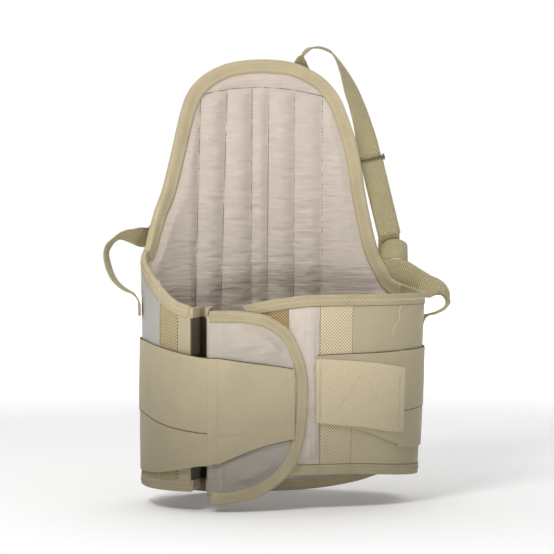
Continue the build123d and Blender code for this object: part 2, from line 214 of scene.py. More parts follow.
def value_noise(u, v, seed):
    """Smooth noise between -1 and 1, with one lattice cell per unit."""
    lattice = np.random.default_rng(seed).uniform(-1, 1, (64, 64))
    iu, iv = np.floor(u).astype(int), np.floor(v).astype(int)
    fu, fv = u - iu, v - iv
    fu, fv = fu * fu * (3 - 2 * fu), fv * fv * (3 - 2 * fv)
    corners = [[lattice[(iu + a) % 64, (iv + b) % 64] for b in (0, 1)] for a in (0, 1)]
    return between(corners, fu, fv)


def billows(s, z, seed, size=(40, 40), depth=1.0):
    """Soft uneven cloth: two sizes of noise."""
    return depth * (
        value_noise(s / size[0], z / size[1], seed)
        + 0.4 * value_noise(s / size[0] * 2.3, z / size[1] * 2.3, seed + 1))


CREASE_SPREAD = 60.0


def creases(s, z, seed, angle, pitch, depth):
    """Ridged creases that run roughly along `angle` and fade in and out."""
    c, d = math.cos(angle), math.sin(angle)
    across = -s * d + z * c
    bend = value_noise(s / CREASE_SPREAD, z / CREASE_SPREAD, seed) * pitch * 1.1
    wave = np.sin(2 * math.pi * (across + bend) / pitch)
    mask = np.clip(value_noise(s / CREASE_SPREAD * 1.4, z / CREASE_SPREAD * 1.4, seed + 7) + 0.15, 0, 1)
    return depth * mask * (np.abs(wave) ** 0.7 * np.sign(wave))


def lattice(s, z, pitch):
    """Staggered rounded knots, between 0 and 1, one every `pitch` along both diagonals."""
    a = (s - z) / math.sqrt(2) / pitch
    b = (s + z) / math.sqrt(2) / pitch
    return (0.5 - 0.5 * np.cos(2 * math.pi * a)) * (0.5 - 0.5 * np.cos(2 * math.pi * b))


def line_distance(s, z, line):
    """Distance on the flat pattern to the nearest point of a closely sampled line."""
    flat = np.stack((np.ravel(s), np.ravel(z)), 1)
    nearest = np.full(len(flat), 1e9)
    for point in line:
        nearest = np.minimum(nearest, np.hypot(flat[:, 0] - point[0], flat[:, 1] - point[1]))
    return nearest.reshape(np.shape(s))


def ease(value, low, high):
    """Rises smoothly from 0 to 1 between two values."""
    share = np.clip((value - low) / (high - low), 0, 1)
    return share * share * (3 - 2 * share)


class Quilting:
    """Relief of cloth sewn down along some places and slightly too large between them.

    The cloth is simulated on the flat pattern: its threads grow a little and it is pressed
    outwards, so that it puffs and wrinkles between the seams as the real one does.
    """

    SCALE = 10 * MM  # the cloth solver is steadier at ten times life size

    def __init__(self, s_range, z_range, step, sewn, grow, pressure, seed, cap=3.5, frames=22):
        self.s = np.arange(s_range[0], s_range[1] + step, step)
        self.z = np.arange(z_range[0], z_range[1] + step, step)
        S, Z = np.meshgrid(self.s, self.z, indexing="ij")
        self.rise = np.zeros(S.shape)
        start = 0.35 * value_noise(S / 11, Z / 6, seed) + 0.15 * value_noise(S / 5, Z / 4, seed + 3)
        fixed = sewn(S, Z)
        start[fixed] = 0
        self.rise = np.clip(self.settle(S, Z, start, fixed, grow, pressure, frames), -0.8, cap)

    def settle(self, S, Z, start, fixed, grow, pressure, frames):
        rows, columns = S.shape
        points = np.stack((S, -start, Z), -1).reshape(-1, 3) * self.SCALE
        i, j = np.meshgrid(np.arange(rows - 1), np.arange(columns - 1), indexing="ij")
        a = (i * columns + j).ravel()
        quads = np.stack((a, a + columns, a + columns + 1, a + 1), 1)
        mesh = bpy.data.meshes.new("sheet")
        mesh.from_pydata(points.tolist(), [], quads.tolist())
        sheet = bpy.data.objects.new("sheet", mesh)
        bpy.context.scene.collection.objects.link(sheet)
        group = sheet.vertex_groups.new(name="sewn")
        group.add([int(k) for k in np.nonzero(fixed.ravel())[0]], 1.0, "REPLACE")
        self.set_cloth(sheet, grow, pressure)
        for number in range(1, frames + 1):
            bpy.context.scene.frame_set(number)
        settled = sheet.evaluated_get(bpy.context.evaluated_depsgraph_get()).to_mesh()
        moved = np.empty(len(settled.vertices) * 3)
        settled.vertices.foreach_get("co", moved)
        bpy.data.objects.remove(sheet)
        bpy.context.scene.frame_set(1)
        return -moved.reshape(rows, columns, 3)[..., 1] / self.SCALE

    @staticmethod
    def set_cloth(sheet, grow, pressure):
        cloth = sheet.modifiers.new("cloth", "CLOTH")
        cloth.collision_settings.use_collision = False
        cloth.collision_settings.use_self_collision = False
        settings = cloth.settings
        settings.vertex_group_mass = "sewn"
        settings.quality = 6
        settings.mass = 0.1
        settings.tension_stiffness = 12
        settings.compression_stiffness = 12
        settings.shear_stiffness = 4
        settings.bending_stiffness = 0.1
        settings.tension_damping = 8
        settings.compression_damping = 8
        settings.air_damping = 2
        settings.effector_weights.gravity = 0
        settings.shrink_min = -grow
        settings.shrink_max = -grow
        settings.use_pressure = True
        settings.uniform_pressure_force = pressure

    def __call__(self, s, z):
        """The rise in mm at places on the flat pattern."""
        u = np.clip((s - self.s[0]) / (self.s[1] - self.s[0]), 0, len(self.s) - 1.001)
        v = np.clip((z - self.z[0]) / (self.z[1] - self.z[0]), 0, len(self.z) - 1.001)
        i, j = u.astype(int), v.astype(int)
        corners = [[self.rise[i + a, j + b] for b in (0, 1)] for a in (0, 1)]
        return between(corners, u - i, v - j)


# ---------------------------------------------------------------- mesh builders

def level(height):
    """A face, or an edge's line, at one height all over."""
    return lambda s, z=None: height + 0 * s


def make_object(name, points, faces, uvs, material):
    mesh = bpy.data.meshes.new(name)
    mesh.from_pydata([tuple(p) for p in points], [], [tuple(int(i) for i in f) for f in faces])
    layer = mesh.uv_layers.new(name="flat")
    loops = np.empty(len(mesh.loops), np.int32)
    mesh.loops.foreach_get("vertex_index", loops)
    layer.data.foreach_set("uv", np.array(uvs, np.float32)[loops].ravel())
    mesh.polygons.foreach_set("use_smooth", [True] * len(mesh.polygons))
    mesh.materials.append(material)
    piece = bpy.data.objects.new(name, mesh)
    bpy.context.scene.collection.objects.link(piece)
    return piece


def edge_spaced(low, high, step, rim):
    """Evenly spaced figures with closer ones near both ends, where an edge is rounded."""
    inner = np.linspace(low + rim, high - rim, max(2, int(round((high - low - 2 * rim) / step)) + 1))
    ends = rim * np.array((0, 0.12, 0.38, 0.7))
    return np.concatenate((low + ends, inner, high - ends[::-1]))


def slab(name, material, s_range, low, high, outer, inner, step=3.0, rim=1.0, keep=None,
         plan=BASE, soft_edge=True):
    """A closed sheet of cloth on the flat pattern, with two faces and rounded edges."""
    s = edge_spaced(s_range[0], s_range[1], step, rim)
    bottom, top = low(s), high(s)
    tall = float(np.max(top - bottom))
    share = edge_spaced(0, tall, step, rim) / tall
    S = s[:, None] + 0 * share[None, :]
    Z = bottom[:, None] + (top - bottom)[:, None] * share[None, :]
    far = np.minimum.reduce((S - s[0], s[-1] - S, Z - bottom[:, None], top[:, None] - Z))
    round_off = np.sqrt(np.clip(1 - (1 - np.clip(far / rim, 0, 1)) ** 2, 0.02, 1))
    if not soft_edge:
        round_off = np.ones_like(far)
    h_out, h_in = outer(S, Z), inner(S, Z)
    middle = (h_out + h_in) / 2
    h_out = middle + (h_out - middle) * round_off
    h_in = middle + (h_in - middle) * round_off
    rows, columns = S.shape
    count = rows * columns
    points = np.concatenate((plan.place(S, Z, h_out).reshape(-1, 3),
                             plan.place(S, Z, h_in).reshape(-1, 3)))
    flat = np.stack((S, Z), -1).reshape(-1, 2) / 10
    uvs = np.concatenate((flat, flat))
    i, j = np.meshgrid(np.arange(rows - 1), np.arange(columns - 1), indexing="ij")
    cell = np.ones(i.shape, bool)
    if keep is not None:
        cell = keep((S[:-1, :-1] + S[1:, 1:]) / 2, (Z[:-1, :-1] + Z[1:, 1:]) / 2)
    a = (i * columns + j)[cell]
    quads = np.stack((a, a + 1, a + columns + 1, a + columns), 1)
    faces = [quads, quads[:, ::-1] + count]
    edges = {}
    for k in range(4):
        for start, end in zip(quads[:, k], quads[:, (k + 1) % 4]):
            edges[(start, end)] = True
    rim_edges = [(e[0], e[1]) for e in edges if (e[1], e[0]) not in edges]
    sides = np.array([(e[1], e[0], e[0] + count, e[1] + count) for e in rim_edges])
    faces = np.concatenate(faces + [sides])
    used = np.unique(faces)
    new_index = np.zeros(2 * count, int)
    new_index[used] = np.arange(len(used))
    return make_object(name, points[used], new_index[faces], uvs[used], material)


def tube(name, material, rings, uvs, closed=False):
    """A closed skin over rings of points, given as an array (ring, point, xyz)."""
    count, size = rings.shape[:2]
    faces = []
    for i in range(count - 1 + closed):
        for j in range(size):
            a, b = i * size + j, i * size + (j + 1) % size
            c, d = ((i + 1) % count) * size + (j + 1) % size, ((i + 1) % count) * size + j
            faces.append((a, b, c, d))
    if not closed:
        faces.append(tuple(range(size))[::-1])
        faces.append(tuple((count - 1) * size + j for j in range(size)))
    piece = make_object(name, rings.reshape(-1, 3), faces, uvs.reshape(-1, 2), material)
    mesh = bmesh.new()
    mesh.from_mesh(piece.data)
    bmesh.ops.recalc_face_normals(mesh, faces=mesh.faces)
    mesh.to_mesh(piece.data)
    mesh.free()
    return piece


def line_frame(run, side):
    """Length, and inward direction, along a run of (s, z) points."""
    along = directions(run)
    inward = side * np.stack((along[:, 1], -along[:, 0]), 1)
    length = lengths(run)
    return length, inward


def part_of(run, first, last):
    """The part of a run between two values of s, with exact ends."""
    order = run if run[0, 0] < run[-1, 0] else run[::-1]
    inside = order[(order[:, 0] > first + 0.5) & (order[:, 0] < last - 0.5)]
    ends = [(s, np.interp(s, order[:, 0], order[:, 1])) for s in (first, last)]
    return np.vstack((ends[0], inside, ends[1]))


def tape(name, material, run, side, width, outer, inner, plan=BASE, seed=3, lip=0.75):
    """Folded tape sewn over an edge that follows a run of (s, z) points."""
    length, inward = line_frame(run, side)
    ripple = 0.35 * value_noise(length / 9, 0 * length, seed)
    ripple += 0.25 * value_noise(length / 3.1, 0 * length + 5, seed + 1)
    in_from_edge = width * np.array((1.0, 0.985, 0.8, 0.6, 0.4, 0.2, 0.07, 0.02))
    lift = lip * np.array((0.1, 0.85, 1.0, 0.75, 1.0, 1.0, 0.75, 0.25))
    rings, uvs = [], []
    for face in (1, -1):
        order = range(8) if face == 1 else range(7, -1, -1)
        for k in order:
            w = in_from_edge[k] + (0.35 * ripple if k < 2 else 0)
            s, z = (run + inward * np.atleast_1d(w)[:, None]).T
            base = outer if face == 1 else inner
            h = base + face * lift[k] * (1 + 0.35 * ripple * (2 <= k <= 5))
            rings.append(plan.place(s, z, h))
            uvs.append(np.stack((length / 10, face * in_from_edge[k] / 10 + 0 * length), 1))
    return tube(name, material, np.stack(rings, 1), np.stack(uvs, 1))


def stitch_run(places, radius):
    """Rings of little thread capsules between following pairs of places."""
    parts = []
    for a, b in places:
        along = b - a
        long = np.linalg.norm(along)
        if long < 1e-6:
            continue
        along /= long
        side = np.cross(along, (0.31, 0.17, 0.93))
        side /= np.linalg.norm(side)
        other = np.cross(along, side)
        parts.append((a, b, side, other))
    angles = np.linspace(0, 2 * math.pi, 6, endpoint=False)
    stations = ((0.0, 0.35), (0.14, 0.9), (0.5, 1.1), (0.86, 0.9), (1.0, 0.35))
    points, faces = [], []
    r = radius * MM
    for a, b, side, other in parts:
        start = len(points)
        for t, wide in stations:
            middle = a + (b - a) * t
            for angle in angles:
                points.append(middle + r * wide * (
                    math.cos(angle) * side + math.sin(angle) * other))
        rings = len(stations)
        for i in range(rings - 1):
            for j in range(6):
                k = (j + 1) % 6
                faces.append((start + i * 6 + j, start + i * 6 + k,
                              start + i * 6 + 6 + k, start + i * 6 + 6 + j))
        faces.append(tuple(start + j for j in range(6))[::-1])
        faces.append(tuple(start + (rings - 1) * 6 + j for j in range(6)))
    return points, faces


def threads(name, material, rows, radius=0.32):
    """One mesh of stitches; each row is a list of (start, end) places."""
    points, faces = [], []
    for row in rows:
        more_points, more_faces = stitch_run(row, radius)
        faces += [tuple(i + len(points) for i in face) for face in more_faces]
        points += more_points
    uvs = np.array([(p[0] * 100, p[2] * 100) for p in points])
    return make_object(name, points, faces, uvs, material)


def places_on(run, marks, offsets, h, side=1):
    """Places at lengths along a run, moved in from it by offsets, at height h."""
    length, inward = line_frame(run, side)
    s, z, ds, dz = (np.interp(marks, length, column)
                    for column in (run[:, 0], run[:, 1], inward[:, 0], inward[:, 1]))
    s, z = s + ds * offsets, z + dz * offsets
    return BASE.place(s, z, h(s, z) if callable(h) else h)


def straight_row(run, h, pitch=3.2, share=0.72):
    """Places of a plain row of stitches along a run of (s, z) points."""
    length, _ = line_frame(run, 1)
    starts = np.arange(0, length[-1] - pitch, pitch)
    first = places_on(run, starts, 0, h)
    last = places_on(run, starts + pitch * share, 0, h)
    return list(zip(first, last))


def zigzag_row(run, side, inset, h, pitch=2.6, swing=1.3):
    """Places of a zigzag row sewn `inset` inside a run of (s, z) points."""
    length, _ = line_frame(run, side)
    marks = np.arange(0, length[-1], pitch)
    offsets = inset + swing * np.where(np.arange(len(marks)) % 2, 1, -1)
    corners = places_on(run, marks, offsets, h, side)
    return list(zip(corners[:-1], corners[1:]))


def ribbon(name, material, stations, width, thick, step=3.0):
    """Flat webbing through stations of (middle, direction across its width)."""
    middles = smooth_line([m for m, _ in stations], step)
    length = lengths(middles)
    marks = np.array([m for m, _ in stations], float)
    at = np.array([length[np.argmin(np.linalg.norm(middles - m, axis=1))] for m in marks])
    at = np.maximum.accumulate(at + np.arange(len(at)) * 1e-6)
    across = np.stack(
        [np.interp(length, at, [a[i] for _, a in stations]) for i in range(3)], 1)
    along = directions(middles)
    across -= along * np.sum(across * along, axis=1)[:, None]
    across /= np.linalg.norm(across, axis=1)[:, None]
    facing = np.cross(along, across)
    half, flat = width / 2, thick / 2
    profile = []
    for w in (-0.94, -0.6, -0.2, 0.2, 0.6, 0.94):
        profile.append((w * half, flat))
    profile.append((half, 0.0))
    for w in (0.94, 0.6, 0.2, -0.2, -0.6, -0.94):
        profile.append((w * half, -flat))
    profile.append((-half, 0.0))
    rings = np.stack([middles + across * w + facing * h for w, h in profile], 1)
    uvs = np.stack([np.stack((length / 10, w / 10 + 0 * length), 1) for w, _ in profile], 1)
    return tube(name, material, (rings + SHIFT) * MM, uvs)


# ---------------------------------------------------------------- materials

def srgb(red, green, blue):
    """A colour given in 0 to 255 screen values, as linear light."""
    def linear(value):
        value /= 255
        return value / 12.92 if value <= 0.04045 else ((value + 0.055) / 1.055) ** 2.4
    return (*(linear(v) for v in (red, green, blue)), 1.0)


def tinted(colour, factor):
    return (*(min(1.0, c * factor) for c in colour[:3]), 1.0)


# Painted shade: cloth colour is darkened towards the floor, darkest at the floor by this factor, and not
# darkened from SHADE_TOP metres up.
LOW_SHADE = 0.52
SHADE_TOP = 0.24


class Shader:
    """A small helper for building one material's nodes."""

    def __init__(self, name, low_shade=LOW_SHADE):
        self.low_shade = low_shade
        self.material = bpy.data.materials.new(name)
        self.material.use_nodes = True
        self.nodes = self.material.node_tree.nodes
        self.links = self.material.node_tree.links
        self.surface = self.nodes["Principled BSDF"]

    def add(self, kind, inputs=None, **settings):
        """A node with its settings, and its inputs set or wired."""
        node = self.nodes.new(kind)
        for key, value in settings.items():
            setattr(node, key, value)
        for socket, value in (inputs or {}).items():
            self.put(node.inputs[socket], value)
        return node

    def put(self, socket, value):
        """Sets a plain value on a socket, or wires an output to it."""
        if isinstance(value, (int, float, tuple)):
            socket.default_value = value
        else:
            self.links.new(value, socket)

    def flat(self, scale=(1, 1, 1), turn=0.0):
        """The flat pattern in centimetres, scaled."""
        uv = self.add("ShaderNodeUVMap", uv_map="flat")
        mapping = self.add("ShaderNodeMapping", {
            "Scale": scale, "Rotation": (0, 0, turn), "Vector": uv.outputs["UV"]})
        return mapping.outputs["Vector"]

    def noise(self, vector, scale, detail=3.0, rough=0.6):
        node = self.add("ShaderNodeTexNoise", {
            "Scale": scale, "Detail": detail, "Roughness": rough, "Vector": vector})
        return node.outputs["Fac"]

    def wave(self, vector, scale, direction="X", distort=0.0):
        node = self.add("ShaderNodeTexWave", {
            "Scale": scale, "Distortion": distort, "Detail": 1.0, "Vector": vector},
            bands_direction=direction, wave_profile="SIN")
        return node.outputs["Fac"]

    def knots(self, pitch):
        """Staggered knots, one every `pitch` cm along both diagonals of the cloth."""
        diagonal = self.flat(turn=math.radians(45))
        scale = 0.314 / pitch
        across = self.wave(diagonal, scale, "X")
        along = self.wave(diagonal, scale, "Y")
        return self.math("MULTIPLY", across, along)

    def math(self, operation, a, b):
        node = self.add("ShaderNodeMath", {0: a, 1: b}, operation=operation)
        return node.outputs[0]

    def ramp(self, factor, stops):
        node = self.add("ShaderNodeValToRGB")
        ramp = node.color_ramp
        while len(ramp.elements) < len(stops):
            ramp.elements.new(0.5)
        for element, (position, colour) in zip(ramp.elements, stops):
            element.position = position
            element.color = colour
        self.put(node.inputs["Fac"], factor)
        return node.outputs["Color"]

    def mix(self, factor, a, b, blend="MIX"):
        node = self.add("ShaderNodeMix", {0: factor, 6: a, 7: b}, data_type="RGBA", blend_type=blend)
        return node.outputs[2]

    def stain(self, shade, colour, patterns):
        """A shade tinted by each (pattern, strength, factor on the colour) in turn."""
        for pattern, strength, factor in patterns:
            shade = self.mix(self.math("MULTIPLY", pattern, strength), shade, tinted(colour, factor))
        return shade

    def painted_floor_shade(self, colour):
        """Cloth colour softly darkened towards the floor: painted shade."""
        place = self.add("ShaderNodeTexCoord")
        split = self.add("ShaderNodeSeparateXYZ", {"Vector": place.outputs["Object"]})
        height = self.add("ShaderNodeMapRange", {
            "From Min": 0.0, "From Max": SHADE_TOP, "To Min": self.low_shade, "To Max": 1.0,
            "Value": split.outputs["Z"]}, interpolation_type="SMOOTHSTEP")
        return self.mix(1.0, colour, height.outputs["Result"], "MULTIPLY")

    def finish(self, colour, rough, bumps, sheen):
        """Colour, roughness and stacked bumps, each (height, strength, distance in mm)."""
        # Cloth gets painted shade that darkens its colour towards the floor.
        if sheen:
            colour = self.painted_floor_shade(colour)
        for socket, value in (
            ("Base Color", colour), ("Roughness", rough), ("Sheen Weight", sheen),
            ("Sheen Roughness", 0.45), ("Sheen Tint", (1, 1, 1, 1)), ("Specular IOR Level", 0.25),
        ):
            self.put(self.surface.inputs[socket], value)
        normal = None
        for height, strength, distance in bumps:
            bump = self.add("ShaderNodeBump", {
                "Strength": strength, "Distance": distance * MM, "Height": height})
            if normal is not None:
                self.put(bump.inputs["Normal"], normal)
            normal = bump.outputs["Normal"]
        self.put(self.surface.inputs["Normal"], normal)
        return self.material


# A wave texture at scale 1 has about this many bands to the centimetre.
WAVE_BANDS = 3.2


def woven(name, colour, threads_per_cm=(16, 16), rough=0.85, depth=0.16,
          blotch=0.10, wrinkle=0.0, stretch=(0.22, 1.7, 1.0), turn=0.0, spec=0.25,
          low_shade=LOW_SHADE):
    """Plain woven cloth: crossing threads, uneven dye and soiling in blotches, fine wrinkles that darken
    its colour as painted shade, and painted shade towards the floor.
    """
    shader = Shader(name, low_shade)
    plain = shader.flat()
    u, v = threads_per_cm
    warp = shader.wave(plain, u / WAVE_BANDS, "X", 0.4)
    weft = shader.wave(plain, v / WAVE_BANDS, "Y", 0.4)
    weave = shader.math("MULTIPLY", warp, weft)
    soil = shader.noise(plain, 0.35, 4.0)
    grain = shader.noise(shader.flat((1.0, 3.0, 1.0)), 9.0, 3.0)
    shade = shader.ramp(soil, [(0.3, tinted(colour, 1 - blotch)),
                               (0.7, tinted(colour, 1 + 0.5 * blotch))])
    shade = shader.stain(shade, colour, ((grain, 0.30, 0.74), (weave, 0.35, 1.15)))
    bumps = [(soil, 0.25, 0.6), (weave, 0.6, depth), (grain, 0.4, 0.12)]
    if wrinkle:
        lines = shader.noise(shader.flat(stretch, turn), 1.5, 4.0, 0.6)
        # The wrinkle lines darken the colour along them: painted shade in the creases.
        shade = shader.stain(shade, colour, ((lines, 0.3, 0.84),))
        bumps.insert(0, (lines, 0.9, wrinkle))
    roughness = shader.math("ADD", shader.math("MULTIPLY", grain, 0.12), rough - 0.06)
    material = shader.finish(shade, roughness, bumps, sheen=0.12)
    shader.surface.inputs["Specular IOR Level"].default_value = spec
    return material


def knit(name, colour, low_shade=LOW_SHADE):
    """Smooth covered elastic: fine upright ribs, faint cross lines and a soft bloom."""
    shader = Shader(name, low_shade)
    plain = shader.flat()
    ribs = shader.wave(plain, 12.0 / WAVE_BANDS, "Y", 0.25)
    cross = shader.wave(plain, 22 / WAVE_BANDS, "X", 0.5)
    soil = shader.noise(plain, 0.28, 4.0)
    bands = shader.noise(shader.flat((0.35, 0.06, 1.0)), 1.6, 2.0)
    fine = shader.noise(plain, 14.0, 2.0)
    shade = shader.ramp(soil, [(0.3, tinted(colour, 0.93)), (0.72, tinted(colour, 1.05))])
    shade = shader.stain(shade, colour, ((bands, 0.35, 0.88), (fine, 0.22, 0.84), (ribs, 0.15, 1.08)))
    bumps = [(soil, 0.3, 0.8), (ribs, 0.5, 0.10), (cross, 0.3, 0.06), (fine, 0.2, 0.05)]
    return shader.finish(shade, 0.75, bumps, sheen=0.12)


def open_mesh(name, colour, hole):
    """Loop mesh: staggered knots of fine cord round small dark holes."""
    shader = Shader(name)
    knots = shader.knots(MESH_PITCH / 10)
    soil = shader.noise(shader.flat(), 0.8, 3.0)
    fine = shader.noise(shader.flat(), 22.0, 2.0)
    shade = shader.ramp(knots, [(0.0, hole), (0.06, tinted(hole, 1.5)),
                                (0.25, tinted(colour, 0.9)), (0.8, tinted(colour, 1.08))])
    shade = shader.stain(shade, colour, ((soil, 0.3, 0.75), (fine, 0.3, 0.72)))
    return shader.finish(shade, 0.8, [(knots, 0.6, 0.4), (fine, 0.5, 0.15)], sheen=0.2)


def fleece(name, colour):
    """Brushed loop pile."""
    shader = Shader(name)
    plain = shader.flat()
    clumps = shader.noise(plain, 9.0, 5.0, 0.75)
    fibres = shader.noise(plain, 26.0, 4.0, 0.8)
    shade = shader.ramp(clumps, [
        (0.36, tinted(colour, 0.68)), (0.52, colour), (0.66, tinted(colour, 1.15))])
    shade = shader.stain(shade, colour, ((fibres, 0.6, 0.66),))
    return shader.finish(shade, 0.95, [(clumps, 0.6, 0.5), (fibres, 0.8, 0.3)], sheen=0.2)


def webbing_cloth(name, colour):
    """Coarse basket-woven webbing."""
    shader = Shader(name)
    weave = shader.knots(0.20)
    soil = shader.noise(shader.flat(), 0.5, 4.0)
    patch = shader.noise(shader.flat(), 1.3, 3.0)
    fine = shader.noise(shader.flat(), 16.0, 2.0)
    shade = shader.ramp(weave, [(0.05, tinted(colour, 0.22)), (0.34, tinted(colour, 0.84)),
                                (0.8, tinted(colour, 1.28))])
    shade = shader.stain(shade, colour, ((soil, 0.5, 0.66), (patch, 0.25, 1.15), (fine, 0.3, 0.7)))
    return shader.finish(shade, 0.85, [(weave, 0.9, 0.5), (fine, 0.4, 0.12)], sheen=0.1)


def thread(name, colour):
    shader = Shader(name)
    ply = shader.noise(shader.flat(), 30.0, 2.0)
    shade = shader.stain(colour, colour, ((ply, 0.4, 0.78),))
    return shader.finish(shade, 0.7, [(ply, 0.4, 0.08)], sheen=0.2)


def steel(name, colour, rough=0.35):
    shader = Shader(name)
    texture = shader.add("ShaderNodeTexCoord")
    brushed = shader.noise(texture.outputs["Object"], 900.0, 3.0)
    wear = shader.noise(texture.outputs["Object"], 60.0, 4.0)
    shade = shader.ramp(wear, [(0.35, tinted(colour, 0.8)), (0.7, tinted(colour, 1.15))])
    roughness = shader.math("ADD", shader.math("MULTIPLY", brushed, 0.25), rough - 0.1)
    material = shader.finish(shade, roughness, [(brushed, 0.15, 0.05)], sheen=0.0)
    shader.surface.inputs["Metallic"].default_value = 1.0
    return material


# low_shade sets how dark each cloth's painted shade is at the floor.
SATIN = woven("satin_lining", srgb(212, 199, 186), (30, 42), rough=0.5, depth=0.05,
              blotch=0.08, wrinkle=2.4, spec=0.45)
FLAP_SATIN = woven("flap_satin", srgb(198, 187, 173), (30, 42), rough=0.5, depth=0.05,
                   blotch=0.09, wrinkle=3.6, stretch=(0.16, 0.5, 1.0), turn=0.6, spec=0.45,
                   low_shade=0.36)
STRIP_SATIN = woven("strip_satin", srgb(210, 198, 184), (30, 42), rough=0.5, depth=0.05,
                    blotch=0.05, wrinkle=2.6, stretch=(0.7, 0.1, 1.0), turn=0.1, spec=0.45)
COVER = woven("cover_cloth", srgb(186, 173, 142), (18, 18))
# Dark brown cloth for the inside of the left front's deep inward fold: painted shadow.
FOLD_PAINTED_SHADOW = woven("fold_painted_shadow", srgb(92, 82, 56), (18, 18))
TAPE = woven("edge_tape", srgb(198, 183, 149), (10, 13), rough=0.88, depth=0.35, blotch=0.16)
FRONT_TAPE = woven("front_edge_tape", srgb(182, 170, 138), (10, 13), rough=0.88, depth=0.35,
                   blotch=0.16, low_shade=0.66)
ELASTIC = knit("covered_elastic", srgb(190, 177, 147))
# A darker copy of the covered elastic for the right side, which the key light reaches less: painted
# shade.
RIGHT_ELASTIC = knit("right_covered_elastic", srgb(180, 168, 139), low_shade=0.7)
SIDE = woven("side_cloth", srgb(184, 181, 176), (26, 26), rough=0.6, depth=0.06, blotch=0.05)
MESH = open_mesh("loop_mesh", srgb(234, 219, 190), srgb(150, 130, 94))
LEFT_MESH = open_mesh("left_loop_mesh", srgb(210, 195, 154), srgb(118, 100, 60))
# Brown loop mesh of the loop field under the left flap, made darker as painted shade of the flap over
# it.
BROWN_MESH = open_mesh("dark_loop_mesh_under_flap", srgb(196, 174, 132), srgb(104, 80, 44))
PILE = fleece("pile_patch", srgb(226, 210, 176))
HOOK = fleece("hook_patch", srgb(206, 190, 158))
WEBBING = webbing_cloth("shoulder_webbing", srgb(212, 199, 156))
THREAD = thread("cream_thread", srgb(216, 203, 172))
# Darker cord laid along the stay channels' sewn lines: painted shadow in their grooves.
CHANNEL_GROOVE_SHADOW = thread("channel_groove_shadow_cloth", srgb(150, 134, 108))
SEAM_THREAD = thread("seam_thread", srgb(92, 76, 50))
# Dark thread laid along edges of the elastic and tapes: painted shadow lines where one layer stands over
# another.
EDGE_SHADOW_THREAD = thread("edge_shadow_thread", srgb(98, 86, 58))
WIRE = steel("adjuster_wire", srgb(120, 116, 108))
SPRING = steel("stay_steel", srgb(150, 150, 152), 0.4)
FOAM = fleece("padding_foam", srgb(232, 228, 214))


# ---------------------------------------------------------------- keeping pieces

BELT_MIDDLE = 110.0
LEFT_BEND = ("brace", "left_front")
RIGHT_BEND = ("brace", "right_front")


def at(s):
    """The place on the belt's base line at length s, about half-way up the belt."""
    return tuple(BASE.place(s, BELT_MIDDLE, 0.0))


def keep(piece, body, slot, *nodes):
    """Makes a piece ride on a body, in place of its CAD nodes, which it hides; a piece for a bend
    between two bodies, or for a tab, is left unattached where it stands.
    """
    if body == LEFT_BEND:
        at(LEFT_HINGE + 16)
        at(LEFT_HINGE - 16)
        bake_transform(piece)
    elif body == RIGHT_BEND:
        at(RIGHT_HINGE - 16)
        at(RIGHT_HINGE + 16)
        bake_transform(piece)
    elif body == "left_tab":
        at(LEFT_TAB_START + 1)
        at(LEFT_TAB_START - 9)
        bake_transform(piece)
    elif body == "right_tab":
        at(RIGHT_TAB_START - 1)
        at(RIGHT_TAB_START + 9)
        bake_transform(piece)
    else:
        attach(piece, body)
    if nodes:
        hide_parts(*nodes)
    return piece


# ---------------------------------------------------------------- shared edges and rows

EDGE_IN = 5


def above_hem(s):
    """Lower edge of a panel's cloth, inside the hem tape."""
    return hem_height(s) + EDGE_IN


def below_top(s):
    """Upper edge of a panel's cloth, inside the top tape."""
    return top_height(s) - EDGE_IN


def wall_face(seed, depth=0.5, base=0.0):
    return lambda s, z: base + billows(s, z, seed, (45, 60), depth)


def knot_face(s, z):
    """The raised knots of the loop mesh."""
    return -0.35 + 0.75 * np.sqrt(lattice(s, z, MESH_PITCH))


def tape_rows(run, side, insets, heights):
    """Rows of stitches at each inset from a tape's edge and each height."""
    return [straight_row(inset_run(run, side, inset), height, pitch=3.4, share=0.62)
            for inset in insets for height in heights]


def upright(s, low, high):
    """A straight run up the flat pattern at one length s."""
    z = np.arange(low, high, 3.0)
    return np.stack((0 * z + s, z), 1)


def wall_tapes(side, material, bend, span, top_width, outer, lip, seed, inset, heights, shadow_lined=False):
    """Top and hem tape of one side, with zigzag stitches on both faces, and when asked, a dark thread
    along each tape's inner edge as a painted shadow line.
    """
    for place, run, way, width in (("top", TOP_RUN, 1, top_width), ("hem", HEM_RUN, -1, HEM_WIDTH)):
        name = f"{side}_{place}_tape"
        edge = part_of_rows(run, *span)
        keep(tape(name, material, edge, way, width, outer, -WALL, seed=seed, lip=lip), bend, "tape",
             f"{side}_side_{place}_tape", f"{side}_front_{place}_tape")
        rows = [zigzag_row(edge, way, inset * width, height) for height in heights]
        keep(threads(name + "_stitches", THREAD, rows), bend, "tape")
        # A dark thread along each tape's inner edge: a painted shadow line.
        if shadow_lined:
            shadow_row = straight_row(inset_run(edge, way, width - 0.4), 0.35, pitch=3.0, share=1.0)
            keep(threads(name + "_painted_shadow_line", EDGE_SHADOW_THREAD, [shadow_row], 0.3), bend, "tape")


# ---------------------------------------------------------------- back panel

# Sewn lines of the stay channels: s at the top of the panel and s at the belt's height.
CHANNEL_LINES = [(-72.0, -78.5), (-40.7, -48.0), (-12.6, -13.9), (6.3, 4.1), (35.0, 33.9),
                 (65.8, 66.0)]
CHANNEL_TOP, CHANNEL_LOW = 440.0, 217.0


def channel_s(line, z):
    top, low = line
    share = (z - CHANNEL_LOW) / (CHANNEL_TOP - CHANNEL_LOW)
    return low + (top - low) * np.clip(share, -0.3, 1.1)


def pocket_seam(s):
    """Height of the seam across the tops of the pockets."""
    return 436.0 - 0.0019 * (s + 4) ** 2


